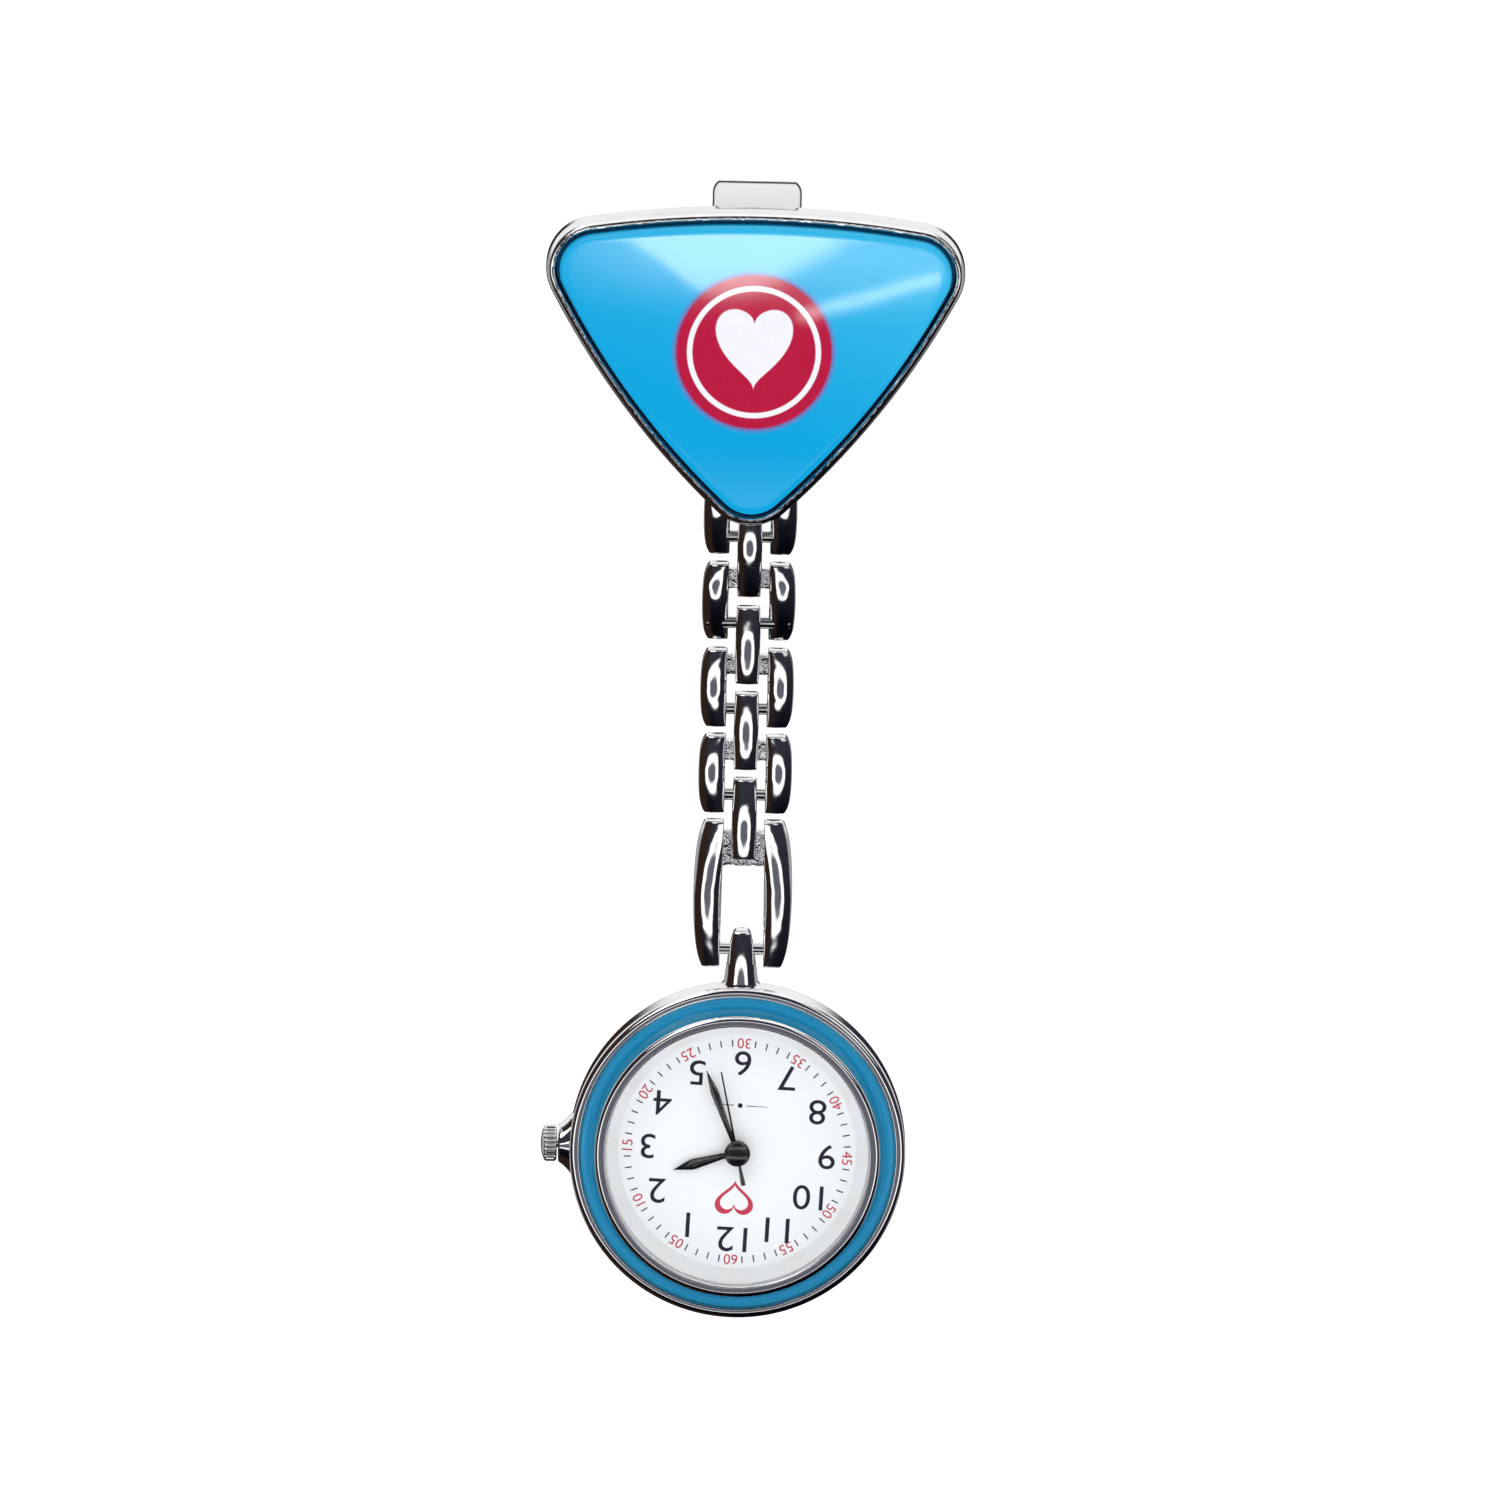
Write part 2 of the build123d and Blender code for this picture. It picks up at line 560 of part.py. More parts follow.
with BuildPart() as train_bridge:
    with BuildSketch(WATCH.offset(BRIDGE_REAR)):
        with Locations(*POSTS, ROTOR):
            Circle(0.9)
        make_hull()
        with Locations(CELL):
            Circle(CELL_R + 0.12, mode=Mode.SUBTRACT)
    extrude(amount=BRIDGE_FRONT - BRIDGE_REAR)
    for post in POSTS:
        disc_layer(post, 0.6, BRIDGE_FRONT, PLATE_REAR)
    for pivot in (CENTRE, THIRD, FIFTH, ROTOR):
        disc_layer(pivot, PIVOT_HOLE_R, BRIDGE_REAR, BRIDGE_FRONT, mode=Mode.SUBTRACT)
    for post in POSTS:
        disc_layer(post, 0.25, BRIDGE_REAR, PLATE_REAR, mode=Mode.SUBTRACT)
save(train_bridge, "train_bridge")

with BuildPart() as bridge_screws:
    for post in POSTS:
        disc_layer(post, 0.25, BRIDGE_REAR, -1.0)
        disc_layer(post, 0.5, BRIDGE_REAR - 0.25, BRIDGE_REAR)
    with BuildSketch(WATCH.offset(BRIDGE_REAR - 0.25)):
        with Locations(*POSTS):
            Rectangle(1.1, 0.16)
    extrude(amount=0.12, mode=Mode.SUBTRACT)
save(bridge_screws, "bridge_screws")

with BuildPart() as button_cell:
    disc_layer(CELL, CELL_R, -2.2, -0.46)
    disc_layer(CELL, CELL_R - 0.35, -2.5, -2.2)
    fillet(button_cell.edges().group_by(Axis.Y)[0], 0.2)
save(button_cell, "button_cell")

CELL_SIDE = Vector(*polar(1.0, 40))
with BuildPart() as cell_strap:
    strap_half = 3.35
    strap_ends = [Vector(*CELL) + CELL_SIDE * (strap_half * side) for side in (-1, 1)]
    with BuildSketch(WATCH.offset(-2.72)):
        SlotCenterToCenter(2 * strap_half, 1.2, rotation=40, mode=Mode.PRIVATE)
        with Locations(CELL):
            SlotCenterToCenter(2 * strap_half, 1.2, rotation=40)
    extrude(amount=0.17)
    for strap_end in strap_ends:
        disc_layer((strap_end.X, strap_end.Y), 0.3, -2.6, PLATE_REAR)
save(cell_strap, "cell_strap")

with BuildPart() as circuit_board:
    with BuildSketch(WATCH.offset(-2.88)):
        Circle(8.6)
        with Locations((-4.2, -5.0)):
            Rectangle(9.4, 7.6, mode=Mode.INTERSECT)
        with Locations(CELL):
            Circle(CELL_R + 0.3, mode=Mode.SUBTRACT)
    extrude(amount=0.22)
save(circuit_board, "circuit_board")

with BuildPart() as quartz_can:
    can_start, can_end = Vector(*CAN_ENDS[0]), Vector(*CAN_ENDS[1])
    can_run = can_end - can_start
    can_plane = Plane(
        origin=(can_start.X, WATCH_Y + 1.7, WATCH_Z + can_start.Y),
        z_dir=(can_run.X, 0, can_run.Y),
    )
    with BuildSketch(can_plane):
        Circle(0.75)
    extrude(amount=can_run.length)
    fillet(quartz_can.edges().filter_by(GeomType.CIRCLE), 0.2)
save(quartz_can, "quartz_can")

CORE_R = 0.35
COIL_LENGTH = 6.6
with BuildPart() as coil:
    rod_x(0.8, -COIL_LENGTH / 2, COIL_LENGTH / 2, WATCH_Y - COIL_H, WATCH_Z + COIL_Z)
    for x in (-COIL_LENGTH / 2 - 0.25, COIL_LENGTH / 2):
        rod_x(0.9, x, x + 0.25, WATCH_Y - COIL_H, WATCH_Z + COIL_Z)
    rod_x(CORE_R + 0.05, -5, 5, WATCH_Y - COIL_H, WATCH_Z + COIL_Z, mode=Mode.SUBTRACT)
save(coil, "coil")

STATOR_REAR, STATOR_FRONT = -1.15, -0.85
with BuildPart() as stator:
    with BuildSketch(WATCH.offset(STATOR_REAR)):
        with Locations(ROTOR):
            Circle(1.2)
        with Locations((0, 6.0)):
            Rectangle(9.4, 1.6)
        with Locations((ROTOR[0], 5.0)):
            Rectangle(2.0, 1.2)
        with Locations(ROTOR):
            Circle(0.8, mode=Mode.SUBTRACT)
    extrude(amount=STATOR_FRONT - STATOR_REAR)
    for x in (-4.1, 4.1):
        with Locations((x, WATCH_Y - (STATOR_REAR + COIL_H) / 2, WATCH_Z + COIL_Z - 0.3)):
            Box(0.8, STATOR_REAR - COIL_H + 0.7, 1.2)
    rod_x(CORE_R, -4.1, 4.1, WATCH_Y - COIL_H, WATCH_Z + COIL_Z)
save(stator, "stator")

# ---------------------------------------------------------------- going train
with BuildPart() as rotor:
    disc_layer(ROTOR, PIVOT_R, -2.3, -0.5)
    disc_layer(ROTOR, 0.65, STATOR_REAR, STATOR_FRONT)
    gear_layer(gear_outline(ROTOR, 8, 0.09, ROTOR_DIRECTION + 180, True), -1.5, -1.2)
save(rotor, "rotor")

with BuildPart() as fifth_wheel:
    disc_layer(FIFTH, PIVOT_R, -2.3, -0.5)
    gear_layer(gear_outline(FIFTH, 32, 0.09, ROTOR_DIRECTION, False), -1.45, -1.25)
    gear_layer(gear_outline(FIFTH, 8, 0.09, FIFTH_DIRECTION + 180, True), -1.9, -1.6)
save(fifth_wheel, "fifth_wheel")

with BuildPart() as fourth_wheel:
    disc_layer(CENTRE, PIVOT_R, -2.3, 2.3)
    gear_layer(gear_outline(CENTRE, 60, 0.09, FIFTH_DIRECTION, False), -1.85, -1.65)
    gear_layer(gear_outline(CENTRE, 8, 0.09, THIRD_DIRECTION, True), -1.5, -1.2)
save(fourth_wheel, "fourth_wheel")

with BuildPart() as third_wheel:
    disc_layer(THIRD, PIVOT_R, -2.3, -0.5)
    gear_layer(gear_outline(THIRD, 60, 0.09, THIRD_DIRECTION + 180, False), -1.45, -1.25)
    gear_layer(gear_outline(THIRD, 8, 0.085, THIRD_DIRECTION + 180, True), -1.1, -0.82)
save(third_wheel, "third_wheel")

TUBE_IN, TUBE_OUT = 0.17, 0.38     # the centre wheel's tube, around the second hand's arbor
with BuildPart() as centre_wheel:
    gear_layer(gear_outline(CENTRE, 64, 0.085, THIRD_DIRECTION, False), -1.06, -0.86)
    disc_layer(CENTRE, TUBE_OUT, -1.06, 1.95)
    disc_layer(CENTRE, TUBE_IN, -1.1, 2.0, mode=Mode.SUBTRACT)
save(centre_wheel, "centre_wheel")

with BuildPart() as cannon_pinion:
    gear_layer(gear_outline(CENTRE, 12, 0.1, MINUTE_WHEEL_DIRECTION, True), -0.1, 0.22)
    disc_layer(CENTRE, TUBE_OUT, -0.2, 0.3, mode=Mode.SUBTRACT)
save(cannon_pinion, "cannon_pinion")

with BuildPart() as minute_wheel:
    gear_layer(gear_outline(MINUTE_WHEEL, 36, 0.1, MINUTE_WHEEL_DIRECTION + 180, False), -0.08, 0.15)
    gear_layer(gear_outline(MINUTE_WHEEL, 10, 0.096, MINUTE_WHEEL_DIRECTION + 180, True), 0.15, 0.65)
    disc_layer(MINUTE_WHEEL, 0.25, -0.1, 0.7, mode=Mode.SUBTRACT)
save(minute_wheel, "minute_wheel")

HOUR_TUBE_R = 0.65
with BuildPart() as hour_wheel:
    gear_layer(gear_outline(CENTRE, 40, 0.096, MINUTE_WHEEL_DIRECTION, False), 0.32, 0.58)
    disc_layer(CENTRE, HOUR_TUBE_R, 0.32, 1.5)
    disc_layer(CENTRE, TUBE_OUT + 0.04, 0.2, 1.6, mode=Mode.SUBTRACT)
save(hour_wheel, "hour_wheel")


# ---------------------------------------------------------------- hands
def hand_outline(turn, root_w, wide_w, wide_at, length, tail, tail_w):
    """A pointed hand. turn is degrees clockwise from the dial's 12, which is at the bottom."""
    angle = math.radians(turn)
    along = Vector(-math.sin(angle), -math.cos(angle))
    across = Vector(-along.Y, along.X)
    half_outline = [(-tail, tail_w / 2), (-0.2, tail_w / 2), (0.2, root_w / 2),
                    (wide_at, wide_w / 2), (length, 0.03)]
    right = [along * reach + across * half for reach, half in half_outline]
    left = [along * reach - across * half for reach, half in reversed(half_outline)]
    with BuildSketch() as outline:
        with BuildLine():
            Polyline(*right, *left, close=True)
        make_face()
    return outline.sketch


minutes_past = MINUTE + SECOND / 60
hour_turn = 30 * (HOUR + minutes_past / 60)

with BuildPart() as hour_hand:
    gear_layer(hand_outline(hour_turn, 0.45, 0.9, 3.7, 5.54, 0.3, 0.45), 1.36, 1.48)
    disc_layer(CENTRE, 1.0, 1.34, 1.5)
    disc_layer(CENTRE, HOUR_TUBE_R, 1.3, 1.6, mode=Mode.SUBTRACT)
save(hour_hand, "hour_hand")

with BuildPart() as minute_hand:
    gear_layer(hand_outline(6 * minutes_past, 0.33, 0.67, 5.3, 7.46, 0.3, 0.33), 1.72, 1.84)
    disc_layer(CENTRE, 0.95, 1.7, 1.88)
    disc_layer(CENTRE, TUBE_OUT, 1.6, 2.0, mode=Mode.SUBTRACT)
save(minute_hand, "minute_hand")

with BuildPart() as second_hand:
    gear_layer(hand_outline(6 * SECOND, 0.15, 0.15, 3.0, 7.05, 2.75, 0.34), 2.06, 2.16)
    disc_layer(CENTRE, 1.08, 2.04, 2.36)
    fillet(second_hand.edges().group_by(Axis.Y)[0], 0.14)
    disc_layer(CENTRE, PIVOT_R, 2.0, 2.3, mode=Mode.SUBTRACT)
save(second_hand, "second_hand")

# ---------------------------------------------------------------- crown and stem
GROOVE_AT = 7.4           # the stem's groove, from the watch's axis
STEM_END = 6.1
STEM_Y = WATCH_Y - STEM_H

with BuildPart() as stem:
    rod_x(STEM_R, -CROWN_OUT + 0.6, -STEM_END, STEM_Y, WATCH_Z)
    with BuildSketch(Plane.YZ.offset(-GROOVE_AT - 0.2)):
        with Locations((STEM_Y, WATCH_Z)):
            Circle(STEM_R + 0.2)
            Circle(0.22, mode=Mode.SUBTRACT)
    extrude(amount=0.4, mode=Mode.SUBTRACT)
save(stem, "stem")

with BuildPart() as setting_lever:
    with BuildSketch(Plane.YZ.offset(-GROOVE_AT - 0.12)):
        with Locations((STEM_Y + 0.25, WATCH_Z)):
            Rectangle(1.3, 1.8)
        with Locations((STEM_Y - 0.2, WATCH_Z)):
            Rectangle(1.0, 0.54, mode=Mode.SUBTRACT)
    extrude(amount=0.24)
save(setting_lever, "setting_lever")

KNURLS = 24
with BuildPart() as crown:
    rod_x(CROWN_KNURL_R, -CROWN_OUT, -CROWN_IN, STEM_Y, WATCH_Z)
    fillet(crown.edges().group_by(Axis.X)[0], 0.5)
    chamfer(crown.edges().group_by(Axis.X)[-1], 0.1)
    rod_x(STEM_R, -CROWN_OUT + 0.6, -CROWN_IN + 1, STEM_Y, WATCH_Z, mode=Mode.SUBTRACT)
    with BuildSketch(Plane.YZ.offset(-CROWN_IN - 0.9)):
        with Locations((STEM_Y, WATCH_Z)):
            with PolarLocations(CROWN_KNURL_R + 0.03, KNURLS):
                Circle(0.13)
    extrude(amount=1.2, mode=Mode.SUBTRACT)
save(crown, "crown")
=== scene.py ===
import math

import bmesh
import bpy
from mathutils import Matrix, Vector
from mathutils import noise as field


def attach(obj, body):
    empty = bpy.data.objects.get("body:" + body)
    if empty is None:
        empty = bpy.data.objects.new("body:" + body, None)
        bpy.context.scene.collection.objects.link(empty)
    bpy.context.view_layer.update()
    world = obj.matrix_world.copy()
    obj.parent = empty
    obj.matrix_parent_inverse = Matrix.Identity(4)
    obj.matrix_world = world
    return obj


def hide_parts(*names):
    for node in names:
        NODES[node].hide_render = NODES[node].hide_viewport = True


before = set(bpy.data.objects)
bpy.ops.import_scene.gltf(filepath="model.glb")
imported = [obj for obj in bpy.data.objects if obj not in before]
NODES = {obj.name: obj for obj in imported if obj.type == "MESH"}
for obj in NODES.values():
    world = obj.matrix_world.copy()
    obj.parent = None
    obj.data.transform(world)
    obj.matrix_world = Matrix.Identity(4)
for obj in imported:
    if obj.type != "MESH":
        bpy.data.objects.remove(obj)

# A nurse's fob watch: clip-on brooch, cast chain and a quartz watch hung upside down. Shapes are in
# millimetres in the CAD's frame: +Z up, the front faces -Y. "h" is a height towards the viewer.
MM = 0.001
SCENE = bpy.context.scene
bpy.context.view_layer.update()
WHITE = (1.0, 1.0, 1.0)

# ---- sizes, as in the CAD
CORNER_X, CORNER_Z, TIP_Z = 17.7, 8.7, -14.8
TOP_BOW, SIDE_BOW, CORNER_R = 1.8, 1.6, 3.0
RIM_REACH, GROOVE = 1.1, 0.35
PLATE_FRONT, FLOOR_FRONT, CARD_FRONT, RIM_FRONT = 0.6, 1.4, 2.0, 4.0
DOME_FRONT, DOME_R, DOME_MID_Z = 4.894, 190.0, 1.0

CHAIN_Y, LINK_T = 2.0, 2.3
PINS = [-9.4, -16.6, -23.85, -31.1, -38.35, -51.4]
BAR_IN, BAR_OUT, BAR_BOW = 1.675, 3.9, 0.25
LONG_OUT, LONG_BOW, LONG_FOOT_IN = 4.12, 0.5, 1.8
CENTRE_HALF, CENTRE_RISE = 1.04, 1.3
BAR_START, BAR_END = 2.25, 1.5
CROSS_R = 1.35

WATCH_Y, WATCH_Z = 1.8, -68.35
DIAL_FRONT = 1.1
# the thumb tab: its top edge, the centre of its corners' rounding, their radius and the strength of
# its painted glow
TAB_TOP, TAB_CORNER, TAB_ROUND, TAB_PAINTED_GLOW = 12.8, (2.5, 11.825), 1.2, 0.2
TIME = (2, 26, 28)
STEM_H = -1.2
HINGE_Y, HINGE_Z = 3.1, 5.5


# ---- node trees
class Tree:
    """Short calls for building a node tree. Values may be numbers, colours or sockets."""

    def __init__(self, tree):
        self.tree = tree
        tree.nodes.clear()

    def feed(self, socket, value):
        if isinstance(value, bpy.types.NodeSocket):
            self.tree.links.new(value, socket)
        elif isinstance(value, (tuple, list)) and socket.type == "RGBA":
            socket.default_value = (*value[:3], 1.0)
        else:
            socket.default_value = value

    def node(self, kind, inputs=None, **settings):
        made = self.tree.nodes.new(kind)
        for key, value in settings.items():
            setattr(made, key, value)
        for key, value in (inputs or {}).items():
            self.feed(made.inputs[key], value)
        return made

    def math(self, operation, *values):
        made = self.node("ShaderNodeMath", operation=operation)
        for slot, value in enumerate(values):
            self.feed(made.inputs[slot], value)
        return made.outputs[0]

    def step(self, value, start, end):
        """0 before start, 1 after end and smooth between; start may be above end."""
        flip = start > end
        low, high = (end, start) if flip else (start, end)
        made = self.node("ShaderNodeMapRange", interpolation_type="SMOOTHSTEP")
        for key, fed in (("Value", value), ("From Min", low), ("From Max", high),
                         ("To Min", 1.0 if flip else 0.0), ("To Max", 0.0 if flip else 1.0)):
            self.feed(made.inputs[key], fed)
        return made.outputs[0]

    def mix(self, amount, first, second):
        made = self.node("ShaderNodeMix", data_type="RGBA")
        for slot, value in ((0, amount), (6, first), (7, second)):
            self.feed(made.inputs[slot], value)
        return made.outputs[2]

    def noise(self, vector, scale, detail=3.0, roughness=0.5):
        made = self.node("ShaderNodeTexNoise", {"Vector": vector, "Scale": scale, "Detail": detail,
                                                "Roughness": roughness})
        return made.outputs["Fac"]

    def stretch(self, vector, scale):
        made = self.node("ShaderNodeMapping", {"Vector": vector, "Scale": scale})
        return made.outputs[0]

    def bump(self, height, strength, distance, normal=None):
        made = self.node("ShaderNodeBump", {"Height": height, "Strength": strength,
                                            "Distance": distance * MM})
        if normal:
            self.feed(made.inputs["Normal"], normal)
        return made.outputs[0]

    def place(self):
        """Object coordinates, and x, y and z in millimetres."""
        vector = self.node("ShaderNodeTexCoord").outputs["Object"]
        parts = self.node("ShaderNodeSeparateXYZ", {"Vector": vector})
        return vector, *(self.math("MULTIPLY", out, 1000.0) for out in parts.outputs)

    def radius(self, across, up, centre_up=0.0):
        offset = self.math("SUBTRACT", up, centre_up)
        return self.math("SQRT", self.math("ADD", self.math("MULTIPLY", across, across),
                                           self.math("MULTIPLY", offset, offset)))


def material(name, shade):
    """A material whose surface is the shader socket that shade(tree) returns."""
    made = bpy.data.materials.new(name)
    made.use_nodes = True
    tree = Tree(made.node_tree)
    tree.node("ShaderNodeOutputMaterial", {"Surface": shade(tree)})
    return made


def surface(name, build):
    """A material whose Principled inputs are what build(tree) returns."""
    def shade(tree):
        return tree.node("ShaderNodeBsdfPrincipled", build(tree)).outputs[0]
    return material(name, shade)


def chrome(tree, tone=(0.93, 0.93, 0.935), rough=0.045, peel=0.25, grain=0.0):
    """Plating: slight orange peel, faint hairlines, cloudy gloss; grain makes it a raw casting."""
    vector = tree.place()[0]
    cloud = tree.noise(vector, 260.0, 4.0, 0.6)
    hair = tree.noise(tree.stretch(vector, (2500.0, 2500.0, 260.0)), 6.0, 2.0)
    marks = tree.step(hair, 0.62, 0.74)
    roughness = tree.math("ADD", rough, tree.math("MULTIPLY", cloud, 0.05))
    roughness = tree.math("ADD", roughness, tree.math("MULTIPLY", marks, 0.04))
    height = tree.math("ADD", tree.math("MULTIPLY", tree.noise(vector, 900.0, 2.0), peel),
                       tree.math("MULTIPLY", marks, -0.05))
    normal = tree.bump(height, 0.5, 0.012)
    if grain:
        rocks = tree.noise(vector, 1300.0, 3.0, 0.6)
        normal = tree.bump(rocks, grain, 0.3, normal)
    worn = tree.mix(tree.math("MULTIPLY", tree.step(cloud, 0.45, 0.75), 0.35),
                    tone, (tone[0] * 0.82, tone[1] * 0.79, tone[2] * 0.75))
    return {"Base Color": worn, "Metallic": 1.0, "Roughness": roughness, "Normal": normal}


def plated(name, **changes):
    return surface(name, lambda tree: chrome(tree, **changes))


SHEET_GRAIN = (90.0, 9000.0, 9000.0)


def brush_lines(tree, vector, scale):
    """Grain along one direction, scale being how fine it is along x, y and z, and the roughness
    that it and some broad clouds add."""
    lines = tree.noise(tree.stretch(vector, scale), 1.0, 5.0, 0.7)
    cloud = tree.noise(vector, 180.0, 3.0)
    return lines, tree.math("MULTIPLY", tree.math("ADD", lines, cloud), 0.11)


def brushed(name, tone, scale, rough):
    """Sheet metal with a grain."""
    def build(tree):
        lines, spread = brush_lines(tree, tree.place()[0], scale)
        colour = tree.mix(lines, tone, tuple(c * 0.82 for c in tone))
        return {"Base Color": colour, "Metallic": 1.0,
                "Roughness": tree.math("ADD", rough - 0.1, spread),
                "Normal": tree.bump(lines, 0.35, 0.01)}
    return surface(name, build)


def lever_finish(tree):
    """The clip's lever: brushed steel, and a pale satin front that is a painted sheen, with a
    painted dark outline standing in for a reflection and a painted glow inside it.
    """
    vector, x, _, z = tree.place()
    normal = tree.node("ShaderNodeTexCoord").outputs["Normal"]
    across = tree.node("ShaderNodeSeparateXYZ", {"Vector": normal}).outputs["Y"]
    front = tree.step(across, 0.1, -0.3)
    lines, spread = brush_lines(tree, vector, SHEET_GRAIN)
    # past: mm outside the tab's outline, and below 0 inside it
    sideways = tree.math("SUBTRACT", tree.math("ABSOLUTE", x), TAB_CORNER[0])
    beside = tree.math("MAXIMUM", sideways, 0.0)
    above = tree.math("MAXIMUM", tree.math("SUBTRACT", z, TAB_CORNER[1]), 0.0)
    past = tree.math("MAXIMUM", tree.math("SUBTRACT", tree.radius(beside, above), TAB_ROUND),
                     tree.math("SUBTRACT", z, TAB_TOP))
    # painted reflection: a dark outline painted just inside the tab's edge, where a rounded edge
    # would mirror dark surroundings
    painted_dark_edge = tree.step(past, -0.21, -0.09)
    # painted sheen: the front is painted pale and nearly non-metal, standing in for the bright
    # light the sheet mirrors
    painted_sheen_tone = tree.mix(lines, (0.98, 0.98, 0.975), (0.88, 0.88, 0.87))
    steel = tree.mix(lines, (0.90, 0.90, 0.89), (0.72, 0.72, 0.71))
    # painted light: the front glows inside the dark outline, though it is no lamp
    glow = tree.math("MULTIPLY", tree.math("MULTIPLY_ADD", painted_dark_edge, -TAB_PAINTED_GLOW, TAB_PAINTED_GLOW), front)
    return {"Base Color": tree.mix(front, steel, tree.mix(painted_dark_edge, painted_sheen_tone, (0.045, 0.042, 0.04))),
            "Metallic": tree.math("MULTIPLY_ADD", front, -0.94, 1.0),
            "Roughness": tree.math("ADD", 0.16, spread), "Emission Color": painted_sheen_tone,
            "Emission Strength": glow, "Normal": tree.bump(lines, 0.2, 0.01)}


def turned(tree):
    """Stainless steel with the fine circles of a lathe around the watch's axis."""
    vector, x, _, z = tree.place()
    rings = tree.node("ShaderNodeCombineXYZ", {"X": tree.radius(x, z, WATCH_Z)}).outputs[0]
    lines = tree.noise(rings, 1.6, 8.0, 0.78)
    cloud = tree.noise(vector, 220.0, 4.0)
    colour = tree.mix(tree.step(lines, 0.3, 0.7), (0.95, 0.95, 0.945), (0.62, 0.62, 0.615))
    spread = tree.math("MULTIPLY", tree.math("ADD", lines, cloud), 0.1)
    around = tree.node("ShaderNodeCombineXYZ", {
        "X": tree.math("SUBTRACT", z, WATCH_Z), "Z": tree.math("MULTIPLY", x, -1.0)}).outputs[0]
    around = tree.node("ShaderNodeVectorTransform", {"Vector": around}, vector_type="VECTOR",
                       convert_from="OBJECT", convert_to="WORLD").outputs[0]
    around = tree.node("ShaderNodeVectorMath", {0: around}, operation="NORMALIZE").outputs[0]
    return {"Base Color": colour, "Metallic": 1.0, "Roughness": tree.math("ADD", 0.28, spread),
            "Anisotropic": 0.85, "Tangent": around, "Normal": tree.bump(lines, 0.3, 0.02)}


def mottled(name, tone, rough, scale=900.0, metal=0.0, depth=0.2, vary=0.12, **more):
    """Moulded, wound or painted parts: a colour that varies finely, with a grain."""
    def build(tree):
        vector = tree.place()[0]
        fine = tree.noise(vector, scale, 5.0, 0.6)
        broad = tree.noise(vector, scale / 8, 3.0)
        blend = tree.math("MULTIPLY", tree.math("ADD", fine, broad), 0.5)
        colour = tree.mix(blend, tuple(c * (1 + vary) for c in tone),
                          tuple(c * (1 - vary) for c in tone))
        return {"Base Color": colour, "Metallic": metal,
                "Roughness": tree.math("ADD", rough - 0.05, tree.math("MULTIPLY", fine, 0.1)),
                "Normal": tree.bump(fine, depth, 0.02), **more}
    return surface(name, build)


# the badge, in mm from its centre: where each part starts and where it is full
BADGE_EDGE, HALO_EDGE = (6.52, 6.34), (6.95, 6.4)
RING_INSIDE, RING_OUTSIDE = (5.05, 5.15), (5.6, 5.5)
HEART_WIDE, HEART_TALL, HEART_DROP = 3.2, 2.75, 0.45


def resin(tree):
    """Blue card under clear resin: a round crimson badge with a ring and a heart."""
    vector, x, _, z = tree.place()
    # painted highlight: the blue is painted lighter towards the upper right
    painted_highlight_blend = tree.step(tree.math("ADD", tree.math("MULTIPLY", x, 0.35), z), -7.0, 15.0)
    blue = tree.mix(painted_highlight_blend, (0.0, 0.355, 0.69), (0.035, 0.47, 0.78))
    cloud = tree.noise(vector, 420.0, 5.0, 0.6)
    blue = tree.mix(tree.math("MULTIPLY", cloud, 0.16), blue, (0.0, 0.32, 0.66))
    far = tree.radius(x, z)
    halo = tree.math("MULTIPLY", tree.step(far, *HALO_EDGE), 0.7)
    halo = tree.mix(halo, blue, (0.22, 0.03, 0.27))
    speck = tree.noise(vector, 2600.0, 3.0)
    crimson = tree.mix(speck, (0.40, 0.004, 0.036), (0.50, 0.008, 0.055))
    badge = tree.mix(tree.step(far, *BADGE_EDGE), halo, crimson)
    ring = tree.math("MULTIPLY", tree.step(far, *RING_INSIDE), tree.step(far, *RING_OUTSIDE))
    hx = tree.math("DIVIDE", tree.math("ABSOLUTE", x), HEART_WIDE)
    hz = tree.math("DIVIDE", tree.math("ADD", z, HEART_DROP), HEART_TALL)
    lobe = tree.math("SUBTRACT", hz, tree.math("MULTIPLY", tree.math("SQRT", hx), 0.85))
    heart = tree.step(tree.radius(hx, lobe), 1.02, 0.975)
    white = tree.math("MAXIMUM", ring, heart)
    colour = tree.mix(white, badge, tree.mix(speck, (0.80, 0.80, 0.86), (0.88, 0.87, 0.92)))
    wave = tree.noise(vector, 70.0, 2.0)
    dust = tree.noise(vector, 3000.0, 2.0)
    return {"Base Color": colour, "Roughness": 0.3, "Specular IOR Level": 0.05, "Coat Weight": 0.5,
            "Coat Roughness": tree.math("ADD", 0.02, tree.math("MULTIPLY", dust, 0.05)),
            "Coat IOR": 1.52, "Coat Normal": tree.bump(wave, 0.3, 0.05)}


def enamel(tree):
    """Blue enamel, pooled deeper in the middle of its channel."""
    vector, x, _, z = tree.place()
    far = tree.radius(x, z, WATCH_Z)
    cloud = tree.noise(vector, 500.0, 5.0, 0.6)
    shifted = tree.math("ADD", far, tree.math("MULTIPLY", tree.math("SUBTRACT", cloud, 0.5), 0.25))
    edge = tree.math("MAXIMUM", tree.step(shifted, 12.25, 11.95), tree.step(shifted, 12.75, 13.1))
    colour = tree.mix(edge, (0.005, 0.285, 0.56), (0.05, 0.41, 0.68))
    return {"Base Color": colour, "Roughness": 0.3, "Specular IOR Level": 0.2, "Coat Weight": 0.45,
            "Coat Roughness": 0.05, "Coat Normal": tree.bump(cloud, 0.2, 0.02)}


